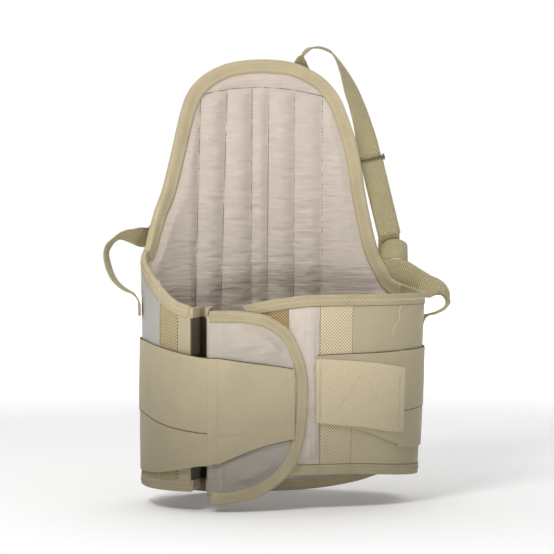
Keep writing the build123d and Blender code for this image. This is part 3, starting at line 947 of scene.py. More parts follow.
def channel_distance(s, z):
    """Distance to the nearest sewn line of the pockets."""
    lines = np.stack([channel_s(line, z) for line in CHANNEL_LINES])
    near = np.where(z < pocket_seam(s) + 1, np.min(np.abs(s - lines), axis=0), 99)
    across = np.where((s > -76) & (s < 72), np.abs(z - pocket_seam(s)), 99)
    return np.minimum(near, across)


def panel_edge_distance(s, z):
    """Distance to the panel's outline or its hem."""
    outline = TOP_RUN[(TOP_RUN[:, 0] > LEFT_SEAM - 20) & (TOP_RUN[:, 0] < RIGHT_SEAM + 20)]
    hem = HEM_RUN[(HEM_RUN[:, 0] > LEFT_SEAM - 20) & (HEM_RUN[:, 0] < RIGHT_SEAM + 20)]
    return np.minimum(line_distance(s, z, outline), line_distance(s, z, hem))


def panel_sewn(s, z):
    edge = panel_edge_distance(s, z)
    outside = z > top_height(s) - 10
    return (channel_distance(s, z) < 1.3) | (edge < 13) | outside | (s < LEFT_SEAM + 3) | (
        s > RIGHT_SEAM - 3)


PANEL_AREA = ((-162, 158), (16, 462))
LINING_PUFF = Quilting(*PANEL_AREA, 2.7, panel_sewn, grow=0.03, pressure=2.2, seed=3, frames=20)
COVER_PUFF = Quilting(*PANEL_AREA, 4.5, panel_sewn, grow=0.012, pressure=1.4, seed=9, frames=16)


def lining_face(s, z):
    fade = ease(panel_edge_distance(s, z), 9, 26)
    near = channel_distance(s, z)
    rise = 1.0 * LINING_PUFF(s, z) + 1.7 * (1 - np.exp(-(near / 3.6) ** 0.9))
    rise = rise + ease(near, 0, 14) * 0.7 * (1.2 + billows(s, z, 21, (34, 70)))
    return -PANEL_WALL + 0.8 - fade * np.clip(rise, 0, None)


def cover_face(s, z):
    fade = ease(panel_edge_distance(s, z), 9, 22)
    near = channel_distance(s, z)
    rise = 0.6 * COVER_PUFF(s, z) + 0.8 * (1 - np.exp(-(near / 5.0) ** 1.3))
    return -0.5 + fade * (rise + 0.3 * billows(s, z, 43, (30, 60)))


def build_back():
    panel = (LEFT_SEAM - 2, RIGHT_SEAM + 2)
    high = level(464)
    outline = np.vstack((TOP_RUN, (500, -60), (-400, -60)))
    inside = lambda s, z: inside_polygon(s, z, outline) & (line_distance(s, z, TOP_RUN) > EDGE_IN)
    lining = slab("back_lining", SATIN, panel, above_hem, high,
                  level(-4.0), lining_face, step=2.2, keep=inside, soft_edge=False)
    keep(lining, "brace", "satin", "back_panel_lining")
    cover = slab("back_cover", COVER, panel, above_hem, high,
                 cover_face, level(-1.15), step=3.2, keep=inside, soft_edge=False)
    keep(cover, "brace", "cover_cloth", "back_panel_cover")
    padding = slab("back_padding", FOAM, (LEFT_SEAM, RIGHT_SEAM), above_hem, high,
                   level(-1.4), level(-3.2), step=4.0, keep=inside)
    keep(padding, "brace", "foam", "back_panel_padding")
    edge = part_of_rows(TOP_RUN, LEFT_SEAM, RIGHT_SEAM)
    keep(tape("back_edge_tape", TAPE, edge, 1, TAPE_WIDTH, 0.1, -PANEL_WALL - 0.3, seed=5,
              lip=1.0), "brace", "tape", "back_panel_tape")
    hem = part_of(HEM_RUN, LEFT_SEAM, RIGHT_SEAM)
    keep(tape("back_hem_edge_tape", TAPE, hem, -1, HEM_WIDTH, 0.1, -PANEL_WALL - 0.3, seed=8,
              lip=0.9), "brace", "tape", "back_hem_tape")
    s = np.arange(-74.0, 71.0, 3.0)
    runs = [np.stack((s, pocket_seam(s)), 1)]
    for line in CHANNEL_LINES:
        z = np.arange(24.0, 440.0, 3.0)
        run = np.stack((channel_s(line, z), z), 1)
        runs.append(run[run[:, 1] < pocket_seam(run[:, 0])])
    inner = level(0.45 - PANEL_WALL)
    outer = level(-0.3)
    # Continuous darker cords on both faces along the channel lines: painted shadow in the grooves.
    rows = [straight_row(run, face, pitch=3.6, share=1.0) for run in runs for face in (inner, outer)]
    keep(threads("back_channel_groove_shadows", CHANNEL_GROOVE_SHADOW, rows, 0.42), "brace", "tape")
    rows = [straight_row(run, lambda s, z: inner(s, z) - 0.3, pitch=3.6, share=0.45) for run in runs]
    keep(threads("back_channel_stitches", SEAM_THREAD, rows, 0.42), "brace", "tape")
    rows = tape_rows(edge, 1, (3.6, 11.6), (1.05, -PANEL_WALL - 1.25))
    rows += tape_rows(hem, -1, (6.0,), (1.0, -PANEL_WALL - 1.2))
    keep(threads("back_tape_stitches", THREAD, rows, 0.36), "brace", "tape")


def inset_run(run, side, inset):
    """A run moved in from an edge."""
    _, inward = line_frame(run, side)
    return run + inward * inset


def inside_polygon(s, z, polygon):
    inside = np.zeros(np.shape(s), bool)
    ends = np.roll(polygon, -1, axis=0)
    for (x0, y0), (x1, y1) in zip(polygon, ends):
        if y0 == y1:
            continue
        crosses = (y0 > z) != (y1 > z)
        inside ^= crosses & (s < (x1 - x0) * (z - y0) / (y1 - y0) + x0)
    return inside


def part_of_rows(run, first, last):
    """The stretch of a run between the rows nearest two values of s."""
    start = int(np.argmin(np.abs(run[:, 0] - first)))
    end = int(np.argmin(np.abs(run[:, 0] - last)))
    return run[start:end + 1]


# ---------------------------------------------------------------- left side and front

def build_left_wall():
    back = wall_face(52, 0.4, -WALL)
    side_span = (LEFT_MESH_START + 0.2, LEFT_SEAM + 1.5)
    side = slab("left_side_cloth", SIDE, side_span, level(54), below_top,
                wall_face(51), back, soft_edge=False)
    keep(side, LEFT_BEND, "side_cloth", "left_side_panel")
    foot = slab("left_side_lower_mesh", LEFT_MESH, side_span, above_hem, level(54.6),
                knot_face, back, step=1.1, soft_edge=False)
    keep(foot, LEFT_BEND, "mesh")
    strip = slab("left_loop_strip", LEFT_MESH, (LEFT_MESH_END, LEFT_MESH_START), above_hem, below_top,
                 knot_face, back, step=1.1)
    keep(strip, LEFT_BEND, "mesh", "left_mesh_strip")
    band = slab("left_elastic_strip_cloth", ELASTIC, (LEFT_FOLD, LEFT_MESH_END), above_hem, below_top,
                wall_face(53, 0.3), back)
    keep(band, "left_front", "elastic", "left_elastic_strip")
    wall_tapes("left", TAPE, LEFT_BEND, (LEFT_FOLD, LEFT_SEAM), 13.0, 0.0, 0.75, 13, 0.45,
               (0.9, -WALL - 0.9))
    column = upright(LEFT_MESH_START, 28, 240)
    keep(threads("left_strip_stitches", THREAD, [zigzag_row(column, 1, 0, 0.7, pitch=1.8, swing=1.6)]),
         LEFT_BEND, "mesh")


def fold_plan():
    """The inward fold's plan line, from the left front to the flap."""
    first = base_point(LEFT_FOLD)
    last = base_point(FLAP_START)
    middle = (first + last) / 2
    inward = -normal_at((LEFT_FOLD + FLAP_START) / 2)
    along = (last - first) / np.linalg.norm(last - first)
    depth = 33.0
    points = [first, first + inward * 7 + along * 0.6, first + inward * 20 + along * 2.0,
              middle + inward * (depth - 4) - along * 5.0, middle + inward * depth,
              middle + inward * (depth - 4) + along * 5.0,
              last + inward * 20 - along * 1.6, last + inward * 7 - along * 1.0,
              last + inward * 1.0, last - inward * 0.7 + along * 0.3]
    return Plan(smooth_line([tuple(p) for p in points], 1.5))


def base_point(s):
    return np.array([np.interp(s, BASE.arc, BASE.points[:, i]) for i in (0, 1)])


def normal_at(s):
    return np.array([np.interp(s, BASE.arc, BASE.normal[:, i]) for i in (0, 1)])


def build_fold():
    plan = fold_plan()
    long = plan.arc[-1]
    flat_top = level(203.0)
    low = level(26.0)
    # The fold's cloth is dark as painted shadow in the deep fold.
    web = slab("left_fold_cloth", FOLD_PAINTED_SHADOW, (0.2, long - 0.2), low, flat_top,
               level(1.1), level(-1.1), plan=plan, rim=0.8)
    keep(web, "left_front", "side_cloth", "left_inward_fold")
    for name, height, side in (("left_fold_top_tape", 208.5, 1), ("left_fold_hem_tape", 21.0, -1)):
        run = np.stack((np.linspace(0.2, long - 0.2, 40), np.full(40, height)), 1)
        keep(tape(name, TAPE, run, side, 11.0, 1.2, -1.2, plan=plan, seed=15), "left_front", "tape")


# Outline of the flap, x and z, and the same on the flat pattern.
FLAP_EDGE = [
    (-105, 205.5), (-86, 206), (-67, 205.5), (-50, 203), (-38, 199), (-19, 185), (-6, 160),
    (-0.8, 138), (0, 120), (-1, 100), (-3.5, 80), (-10, 55), (-24, 34), (-46, 18.5),
    (-68, 11), (-87, 8), (-97, 9.5), (-105, 12),
]


def flap_run():
    line = smooth_line(FLAP_EDGE, 2.2)
    run = np.stack((front_arc(line[:, 0]), line[:, 1]), 1)
    return run[run[:, 0] < FLAP_START - 0.8]


FLAP_RUN = flap_run()
FLAP_AREA = ((float(front_arc(2.0)), FLAP_START - 1), (10, 204))


def flap_sewn(s, z):
    seam = np.abs(s - front_arc(-88.0)) < 1.2
    outside = ~inside_polygon(s, z, FLAP_RUN)
    return (line_distance(s, z, FLAP_RUN) < 11.5) | outside | seam | (s > FLAP_START - 4)


FLAP_PUFF = Quilting(*FLAP_AREA, 2.5, flap_sewn, grow=0.022, pressure=1.6, seed=15, cap=4.0, frames=22)


def flap_face(s, z):
    fade = ease(line_distance(s, z, FLAP_RUN), 8, 24)
    rise = 1.5 * FLAP_PUFF(s, z) + 0.9 * billows(s, z, 61, (30, 50))
    rise = rise + creases(s, z, 63, -0.55, 19.0, 0.9)
    roll = 1 - np.exp(-np.clip(FLAP_START - s, 0, None) / 9.0)
    pressed = ease(z, 36, 62) * ease(-z, -172, -150) * ease(s, front_arc(-4.0), front_arc(-20.0))
    return FLAP_OUT - 0.9 + 0.4 * roll + fade * roll * np.clip(rise, -0.6, None) * (1 - pressed)


def build_flap():
    run = FLAP_RUN
    cut = inset_run(run, -1, 6)
    outline = np.vstack((cut, (FLAP_START + 4, cut[-1, 1]), (FLAP_START + 4, cut[0, 1])))
    pad = slab("left_flap_satin", FLAP_SATIN, (float(front_arc(0.0)) + 2, FLAP_START),
               level(9.0), level(206.0), flap_face,
               level(FLAP_IN), step=2.2, rim=3.0,
               keep=lambda s, z: inside_polygon(s, z, outline))
    keep(pad, "left_front", "satin", "left_flap")
    keep(tape("left_flap_edge_tape", FRONT_TAPE, run, -1, FLAP_TAPE_WIDTH, FLAP_OUT - 0.5, FLAP_IN,
              seed=19, lip=0.95), "left_front", "tape", "left_flap_tape")
    rows = tape_rows(run, -1, (3.2, 9.4), (FLAP_OUT + 0.55, FLAP_IN - 0.95))
    seam = upright(front_arc(-88.0), 22.0, 198.0)
    rows.append(straight_row(seam, lambda s, z: flap_face(s, z) + 0.1))
    keep(threads("left_flap_stitches", THREAD, rows), "left_front", "tape")
    grip = slab("left_flap_hook_patch", HOOK, (arc_at(-174), arc_at(-150)), level(45),
                level(178), level(FLAP_IN + 0.2),
                lambda s, z: -0.15 + FLAP_IN - 0.3 * np.abs(value_noise(s / 1.5, z / 1.5, 83)), step=2.0)
    keep(grip, "left_front", "hook", "left_flap_hook")


# ---------------------------------------------------------------- right side and front

def underlap_sewn(s, z):
    low, high = hem_height(s) + 10, top_height(s) - 10
    return (z < low) | (z > high) | (s < RIGHT_MESH_END + 2) | (s > LOOP_START - 2)


UNDERLAP_PUFF = Quilting((RIGHT_MESH_END, LOOP_START), (36, 218), 2.4, underlap_sewn,
                         grow=0.03, pressure=1.2, seed=27, cap=3.0)


def build_right_wall():
    back = wall_face(92, 0.4, -WALL)
    stretch = slab("right_elastic_cloth", RIGHT_ELASTIC, (RIGHT_SEAM - 1.5, RIGHT_MESH_START), above_hem,
                   below_top, wall_face(91, 0.55), back, soft_edge=False)
    keep(stretch, RIGHT_BEND, "elastic", "right_side_panel", "right_elastic_panel")
    strip = slab("right_loop_strip", MESH, (RIGHT_MESH_START, RIGHT_MESH_END), above_hem, below_top,
                 knot_face, back, step=1.15)
    keep(strip, "right_front", "mesh", "right_mesh_strip")
    under_face = lambda s, z: -0.5 + ease(
        np.minimum(z - above_hem(s), below_top(s) - z), 4, 18) * (
        1.3 * UNDERLAP_PUFF(s, z) + creases(s, z, 97, 1.35, 11.0, 1.0))
    under = slab("right_underlap_satin", STRIP_SATIN, (RIGHT_MESH_END, LOOP_START), above_hem, below_top,
                 under_face, back, step=2.2)
    keep(under, "right_front", "satin", "right_underlap")
    field_face = lambda s, z: -0.9 + 0.6 * np.sqrt(lattice(s, z, MESH_PITCH))
    field = slab("right_loop_field_cloth", BROWN_MESH, (LOOP_START, UNDERLAP_END - 2), above_hem,
                 below_top, field_face, back, step=1.6)
    keep(field, "right_front", "mesh", "right_loop_field")
    wall_tapes("right", FRONT_TAPE, RIGHT_BEND, (RIGHT_SEAM, UNDERLAP_END), 12.5, -0.15, 0.65, 23, 0.5,
               (0.62, -WALL - 0.85), shadow_lined=True)


# ---------------------------------------------------------------- pull straps

LEFT_STRAP_TOP = [(-301, 157), (-286, 158.5), (-262, 163), (-235, 168), (-198, 172), (-119, 172)]
LEFT_BAND_LINE = [(-301, 81), (-286, 82), (-262, 85.5), (-235, 91), (-198, 98), (-119, 98)]
LEFT_STRAP_FOOT = [(-301, 48), (-286, 47), (-262, 42), (-235, 37.5), (-198, 36), (-119, 36)]


def pull_folds(s, z, seed):
    """Soft upright folds of the elastic."""
    return 0.35 * billows(s, z, seed, (16, 90)) + 0.2 * billows(s, z, seed + 5, (50, 40))


def lap_rise(s):
    """The left strap's inner offset: low on the side, over the flap at the front."""
    share = np.clip((-228 - s) / (292 - 228), 0, 1)
    return STRAP_IN + (LAP_OUT + 0.55 - STRAP_IN) * share ** 1.15


def painted_edge_shadow(name, body, span, line, height):
    """A dark thread along the edge of a band of elastic: a painted shadow line."""
    s = np.arange(min(span) + 1.5, max(span) - 1.5, 3.0)
    run = np.stack((s, line(s)), 1)
    row = straight_row(run, height, pitch=3.0, share=1.0)
    keep(threads(name, EDGE_SHADOW_THREAD, [row], 0.5), body, "elastic")


def build_bands(side, bend, material, lines, span, under, swell, overlap, drop, edge_shadow_faces):
    """Two bands of elastic over the offset `under`, with a dark thread along each as a painted shadow
    line.
    """
    top, line, foot = (height_on(smooth_line(points, 3)) for points in lines)
    upper = slab(f"{side}_pull_upper_band", material, span, line, top,
                 lambda s, z: under(s) + STRAP_THICK + swell(s, z),
                 lambda s, z: under(s) + 0 * z, step=3.5, rim=0.9)
    keep(upper, bend, "elastic", f"{side}_strap_upper_band", f"{side}_strap_root")
    lower = slab(f"{side}_pull_lower_band", material, span, foot, lambda s: line(s) + overlap,
                 lambda s, z: under(s) + STRAP_THICK - drop + swell(s, z),
                 lambda s, z: under(s) - 0.1 + 0 * z, step=3.5, rim=0.9)
    keep(lower, bend, "elastic", f"{side}_strap_lower_band")
    top_face, band_face = edge_shadow_faces
    painted_edge_shadow(f"{side}_pull_top_edge_shadow", bend, span, lambda s: top(s) + 0.3, top_face)
    painted_edge_shadow(f"{side}_pull_band_edge_shadow", bend, span, lambda s: line(s) - 0.3, band_face)


def build_left_strap():
    swell = lambda s, z: pull_folds(s, z, 101)
    # Heights of the painted shadow lines along the bands.
    edge_shadow_faces = (lambda s, z: lap_rise(s) + 0.6,
                 lambda s, z: lap_rise(s) + STRAP_THICK - 0.7 + swell(s, z))
    build_bands("left", LEFT_BEND, ELASTIC, (LEFT_STRAP_TOP, LEFT_BAND_LINE, LEFT_STRAP_FOOT),
                (LEFT_TAB_START, arc_at(-60)), lap_rise, swell, 2.0, 0.9, edge_shadow_faces)


LEFT_TAB_TOP = [(-90, 157.2), (-60, 152.5), (-35, 149), (-14.5, 145.5)]
LEFT_TAB_FOOT = [(-90, 49.5), (-67, 60), (-45, 68), (-16, 74.5)]


def front_height(points):
    line = smooth_line(points, 2.5)
    return height_on(np.stack((front_arc(line[:, 0]), line[:, 1]), 1))


def build_left_tab():
    top, foot = front_height(LEFT_TAB_TOP), front_height(LEFT_TAB_FOOT)
    span = (float(front_arc(-15.0)), LEFT_TAB_START + 5)
    over = lambda s: ease(s, LEFT_TAB_START - 7, LEFT_TAB_START)
    seam = lambda s, z: 0.45 * ease(z, 79.5, 80.5) * ease(s, LEFT_TAB_START - 45, LEFT_TAB_START - 25)
    face = lambda s, z: (LAP_OUT + 2.1 + 0.75 * over(s) + seam(s, z) + pull_folds(s, z, 111))
    tab = slab("left_pull_tab", ELASTIC, span, foot, top, face,
               lambda s, z: LAP_OUT + 0.6 + 1.8 * over(s), step=2.0, rim=0.5)
    keep(tab, "left_tab", "elastic", "left_tab")
    raised = lambda s, z: LAP_OUT + 0.7 + 1.8 * over(s)
    # Painted shadow lines along the tab's top and foot.
    painted_edge_shadow("left_tab_top_edge_shadow", "left_tab", span, lambda s: top(s) + 0.3, raised)
    painted_edge_shadow("left_tab_foot_edge_shadow", "left_tab", span, lambda s: foot(s) - 0.3, raised)
    grip = slab("left_tab_hook_patch", HOOK, (arc_at(-168), arc_at(-148)), level(74),
                level(141), level(LAP_OUT + 0.7),
                level(LAP_OUT + 0.15), step=2.5, rim=0.4)
    keep(grip, "left_strap_end", "hook", "left_tab_hook")
    sewn = lambda s, z: face(s, z) + 0.15
    rows = [zigzag_row(upright(s, foot(s) + 4, top(s) - 3), 1, 0, sewn, pitch=2.4, swing=1.5)
            for s in (LEFT_TAB_START - 5.0, span[0] + 5.5)]
    s = np.arange(span[0] + 5, LEFT_TAB_START - 6, 3.0)
    rows.append(straight_row(np.stack((s, top(s) - 7), 1), sewn))
    rows.append(straight_row(np.stack((s, 0 * s + 80), 1), sewn))
    keep(threads("left_tab_stitches", THREAD, rows, 0.28), "left_tab", "tape")


RIGHT_STRAP_TOP = [(119, 162), (206, 162.5), (240, 162), (290, 161)]
RIGHT_BAND_LINE = [(119, 102), (206, 102), (240, 101), (290, 98)]
RIGHT_STRAP_FOOT = [(119, 60), (206, 60), (255, 58.5), (290, 61.5)]


def build_right_strap():
    swell = lambda s, z: pull_folds(s, z, 121)
    # Heights of the painted shadow lines along the bands.
    edge_shadow_faces = (level(STRAP_IN + 0.5), level(STRAP_IN + 1.35))
    build_bands("right", RIGHT_BEND, RIGHT_ELASTIC,
                (RIGHT_STRAP_TOP, RIGHT_BAND_LINE, RIGHT_STRAP_FOOT),
                (arc_at(62), RIGHT_TAB_START), level(STRAP_IN), swell, 1.5, 0.6, edge_shadow_faces)


def right_s(x):
    """Length along the base line of the right front's point at x."""
    part = (BEARINGS > 92) & (BEARINGS < 200)
    return np.interp(x, BASE.points[part, 0][::-1], BASE.arc[part][::-1])


def right_height(points):
    line = smooth_line(points, 2.5)
    return height_on(np.stack((right_s(line[:, 0]), line[:, 1]), 1))


def build_right_tab():
    top = right_height([(116, 161), (80, 160), (40, 159.5), (8, 158.5)])
    foot = right_height([(116, 61), (90, 70), (62, 81), (30, 87), (6, 91)])
    span = (RIGHT_TAB_START, float(right_s(8.0)))
    face = lambda s, z: STRAP_IN + 1.45 + 0.2 * billows(s, z, 131, (30, 30))
    tab = slab("right_pull_tab", RIGHT_ELASTIC, span, foot, top, face, level(STRAP_IN),
               step=2.5, rim=0.7)
    keep(tab, "right_tab", "elastic", "right_tab")
    # A painted shadow line along the tab's top.
    painted_edge_shadow("right_tab_top_edge_shadow", "right_tab", span, lambda s: top(s) + 0.3,
             level(STRAP_IN + 0.5))
    pile_top = right_height([(112, 143.5), (86, 148.5), (58, 152), (30, 154.5), (12, 155.5)])
    pile_foot = right_height([(112, 77), (104, 77), (80, 80.5), (62, 84), (30, 87.5), (8, 90)])
    pile_span = (float(right_s(112.0)), float(right_s(9.0)))
    nap = lambda s, z: (STRAP_IN + 3.1 + 0.3 * value_noise(s / 1.6, z / 1.6, 141)
                        + 0.3 * billows(s, z, 143, (22, 40)))
    pile = slab("right_pile_patch", PILE, pile_span, pile_foot, pile_top, nap,
                level(STRAP_IN + 1.7), step=1.2, rim=1.2)
    keep(pile, "right_tab", "pile", "right_tab_pile")
    sewn = lambda s, z: nap(s, z) + 0.4
    rows = [zigzag_row(upright(s, pile_foot(s) + 3, pile_top(s) - 3), 1, 0, sewn, pitch=2.4, swing=1.6)
            for s in (pile_span[0] + 8.0, pile_span[1] - 4.0)]
    for x0, z0, x1, z1 in ((96, 84, 60, 140), (60, 140, 26, 96)):
        share = np.linspace(0, 1, 28)[:, None]
        run = np.array((right_s(x0), z0)) * (1 - share) + np.array((right_s(x1), z1)) * share
        rows.append(straight_row(run, sewn, pitch=3.0))
    keep(threads("right_tab_stitches", THREAD, rows, 0.36), "right_tab", "tape")


# ---------------------------------------------------------------- shoulder straps

WEB_WIDTH, WEB_THICK = 25.0, 1.6
LAYER_GAP = 3.2
ADJUSTER_PLACE = 14.0
WIRE_RADIUS, BAR_RADIUS = 0.85, 0.4
RIGHT_RUN = ((118.5, 89.0, 372.0), (140.3, 80.3, 276.0))
RUN_ACROSS = (0.975, 0.0, 0.2216)
LEFT_RUN = ((-70.0, 99.0, 400.0), (-97.0, 97.0, 318.0))
LEFT_ACROSS = (0.9499, 0.0, -0.3127)
RIGHT_UPPER = [
    ((44, 92.5, 420), (1, 0, 0)), ((45, 92.5, 446), (1, 0, 0)),
    ((45.5, 96, 457), (0.92, 0.38, 0)), ((47, 98, 467), (0.6, 0.8, 0)),
    ((50, 98, 474), (0.1, 1, 0)), ((56, 98.5, 479), (0, 1, 0)), ((64, 99, 480), (0, 1, 0)),
    ((75, 99, 477.5), (0, 1, 0.1)), ((84, 98, 470), (0.2, 1, 0.2)),
    ((94, 97, 452), (0.5, 0.85, 0.25)), ((102, 95, 432), (0.8, 0.65, 0.3)),
    ((109, 93, 412), (0.9, 0.5, 0.3)), ((114.5, 91, 392), (0.95, 0.35, 0.28)),
]
RIGHT_LOWER = [
    ((128, 62, 238), (0, 0, 1)), ((138.5, 60.5, 239), (0, 0, 1)), ((148, 58, 237.5), (0, 0, 1)),
    ((160, 54, 230), (0.1, 0, 1)), ((171, 49, 222.7), (0.15, 0.15, 1)),
    ((179.7, 43, 219), (0.1, 0.5, 0.85)), ((185.4, 37, 214.6), (0.1, 0.8, 0.6)),
    ((188, 31, 209), (0.2, 0.93, 0.3)), ((187, 25, 202.5), (0.26, 0.96, 0)),
    ((178.4, 19, 197.2), (0.26, 0.96, 0)), ((167.8, 14, 193.9), (0.22, 0.97, 0)),
    ((157.5, 10, 191.6), (0.1, 0.99, 0)), ((152.3, 8.5, 186), (-0.04, 1, 0)),
    ((150.8, 8, 174), (-0.04, 1, 0)),
]
LEFT_UPPER = [
    ((-44, 92.5, 408), (1, 0, 0)), ((-44, 92.5, 430), (1, 0, 0)),
    ((-44.5, 94, 440), (1, 0, -0.05)), ((-46, 97.5, 444.5), (1, 0, -0.1)),
    ((-49, 101.5, 441), (0.97, 0, -0.2)), ((-53, 103, 432), (0.95, 0, -0.28)),
    ((-60, 102, 418), (0.95, 0, -0.31)),
]
LEFT_LOWER = [
    ((-98, 97.4, 314), (0.95, 0, -0.31)), ((-102, 95.5, 301), (0.87, 0.05, -0.5)),
    ((-109, 92, 289), (0.62, 0.2, -0.76)), ((-119, 88, 280), (0.28, 0.35, -0.9)),
    ((-130, 83.5, 276), (0.05, 0.5, -0.85)), ((-142, 77.5, 278.5), (0.1, 0.75, -0.62)),
    ((-154, 71, 279.5), (0.2, 0.9, -0.33)), ((-163, 66, 277), (0.26, 0.94, -0.15)),
    ((-171, 60, 271), (0.32, 0.94, -0.05)), ((-177.4, 53, 263), (0.4, 0.91, 0)),
    ((-179.5, 46, 253), (0.41, 0.91, 0)), ((-177.7, 39, 241), (0.4, 0.92, 0)),
    ((-173, 33, 231), (0.36, 0.93, 0)), ((-165.8, 27, 223.9), (0.32, 0.95, 0)),
    ((-156.9, 21, 218), (0.22, 0.97, 0)), ((-152.2, 17, 210), (0.14, 0.99, 0)),
    ((-151.6, 16, 196), (0.14, 0.99, 0)),
]
# The loose half turn of webbing between the right run and its lower strap.
CURL_CENTRE = np.array((146.0, 80.0, 254.0))
CURL_RADIUS = 14.0
CURL_LEAN = math.radians(35.0)


# Where the run passes down behind the curl.
CURL_JOIN = [((140.3, 80.8, 277), RUN_ACROSS), ((142.0, 86.5, 270), RUN_ACROSS),
             ((143.8, 93.5, 262), RUN_ACROSS), ((145.0, 97.0, 252), RUN_ACROSS)]


def curl_stations():
    right, away, up = np.array((0.966, -0.259, 0)), np.array((0.259, 0.966, 0)), np.array((0, 0, 1))
    across = away * math.sin(CURL_LEAN) + up * math.cos(CURL_LEAN)
    outward = up * math.sin(CURL_LEAN) - away * math.cos(CURL_LEAN)
    stations = []
    for angle in np.radians(np.arange(-90, 91, 15)):
        reach = right * math.sin(angle) + outward * math.cos(angle)
        stations.append((tuple(CURL_CENTRE + reach * CURL_RADIUS), tuple(across)))
    return stations


def run_frame(ends, across):
    start, end = np.array(ends[0]), np.array(ends[1])
    along = (end - start) / np.linalg.norm(end - start)
    width = np.array(across) - along * np.dot(across, along)
    width /= np.linalg.norm(width)
    return start, end, along, width, np.cross(along, width)


def straight(start, end, across):
    return [(tuple(start + (end - start) * t), across) for t in np.linspace(0, 1, 6)]


def adjuster(name, middle, along, width, facing):
    """A wire slide: a rounded frame round both layers and a bar between them."""
    def loop(half_w, half_h, bend, centre):
        points = []
        for corner, (sign_w, sign_h) in enumerate(((1, 1), (-1, 1), (-1, -1), (1, -1))):
            for k in range(5):
                angle = math.radians(90 * corner + 22.5 * k)
                points.append(centre + width * (sign_w * (half_w - bend) + bend * math.cos(angle))
                              + facing * (sign_h * (half_h - bend) + bend * math.sin(angle)))
        return np.array(points)
    rings = []
    path = loop(WEB_WIDTH / 2 + 1.9, LAYER_GAP / 2 + 2.3, 1.8, middle)
    tangent = np.roll(path, -1, axis=0) - np.roll(path, 1, axis=0)
    tangent /= np.linalg.norm(tangent, axis=1)[:, None]
    for point, way in zip(path, tangent):
        out = np.cross(way, along)
        tall = 1.0 + 3.2 * abs(float(np.dot(way, facing)))
        ring = [point + WIRE_RADIUS * (math.cos(a) * out + tall * math.sin(a) * along)
                for a in np.linspace(0, 2 * math.pi, 10, endpoint=False)]
        rings.append(ring)
    rings = (np.array(rings) + SHIFT) * MM
    uvs = np.zeros((*rings.shape[:2], 2))
    frame_piece = tube(name, WIRE, rings, uvs, closed=True)
    ends = (middle - width * (WEB_WIDTH / 2 + 2.2), middle + width * (WEB_WIDTH / 2 + 2.2))
    bar = []
    for t in np.linspace(0, 1, 8):
        centre = ends[0] * (1 - t) + ends[1] * t
        bar.append([centre + BAR_RADIUS * (math.cos(a) * facing + math.sin(a) * along)
                    for a in np.linspace(0, 2 * math.pi, 8, endpoint=False)])
    bar = (np.array(bar) + SHIFT) * MM
    bar_piece = tube(name + "_bar", WIRE, bar, np.zeros((*bar.shape[:2], 2)))
    return frame_piece, bar_piece


def build_shoulder(side, upper, run, across, lower):
    start, end, along, width, facing = run_frame(run, across)
    strap = ribbon(f"{side}_shoulder_strap", WEBBING, upper + straight(start, end, across),
                   WEB_WIDTH, WEB_THICK)
    keep(strap, "brace", "webbing", f"{side}_strap_upper")
    back = facing * LAYER_GAP
    doubled = straight(start + along * ADJUSTER_PLACE + back, end + back, across)
    layer = ribbon(f"{side}_strap_second_layer", WEBBING, doubled, WEB_WIDTH, WEB_THICK)
    keep(layer, "brace", "webbing", f"{side}_strap_return")
    tail = ribbon(f"{side}_lower_strap", WEBBING, lower, WEB_WIDTH, WEB_THICK)
    keep(tail, "brace", "webbing", f"{side}_strap_lower")
    if side == "right":
        curl = ribbon("right_strap_curl_cloth", WEBBING, curl_stations(), WEB_WIDTH, WEB_THICK, 2.0)
        keep(curl, "brace", "webbing", "right_strap_curl")
        turned = ribbon("right_strap_turn", WEBBING, CURL_JOIN, WEB_WIDTH, WEB_THICK, 2.0)
        keep(turned, "brace", "webbing")
    middle = start + along * ADJUSTER_PLACE + back / 2
    wire, bar = adjuster(f"{side}_slide_adjuster", middle, along, width, facing)
    keep(wire, f"{side}_slider", "adjuster_steel", f"{side}_adjuster")
    keep(bar, f"{side}_slider", "adjuster_steel")


def build_loose_thread():
    """A thread tail that hangs from the right front's top tape."""
    points = [(105, 208), (103, 202), (103.5, 196), (101, 190), (98, 184), (97, 178)]
    line = smooth_line(points, 1.5)
    s, z = right_s(line[:, 0]), line[:, 1]
    height = 1.2 + 0.8 * np.sin(np.linspace(0, 5, len(s)))
    middle = BASE.place(s, z, height)
    step = BASE.place(s, z, height + 1) - middle
    side = np.stack((-step[:, 1], step[:, 0], 0 * s), 1)
    angles = np.linspace(0, 2 * math.pi, 6, endpoint=False)
    rings = np.stack([middle + 0.4 * (math.cos(a) * step + math.sin(a) * side) for a in angles], 1)
    keep(tube("loose_thread", THREAD, rings, np.zeros((*rings.shape[:2], 2))), "right_front", "tape")


# ---------------------------------------------------------------- carried-over nodes

def finish_nodes():
    """The stays keep their CAD shapes and get the steel material."""
    for name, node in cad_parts.items():
        if name.endswith("_stay"):
            node.data.materials.clear()
            node.data.materials.append(SPRING)


# ---------------------------------------------------------------- studio

CAMERA_TURN = math.radians(-15.0)
CAMERA_RISE = math.radians(2.5)
CAMERA_DISTANCE = 3.0
FRAME_WIDTH = 0.5817
SENSOR_WIDTH = 36.0
AIM_HEIGHT, AIM_LEFT = 0.2355, 0.00735
LIGHT_TARGET = Vector((0, 0, 0.22))
FLOOR_HALF = 14.0
BACKDROP_AWAY, BACKDROP_HALF, BACKDROP_TALL = 4.6, 7.2, 4.3
SURROUND_RADIUS, SURROUND_TALL, SURROUND_SIDES = 4.4, 5.0, 48
WALL_FOOT = -0.01


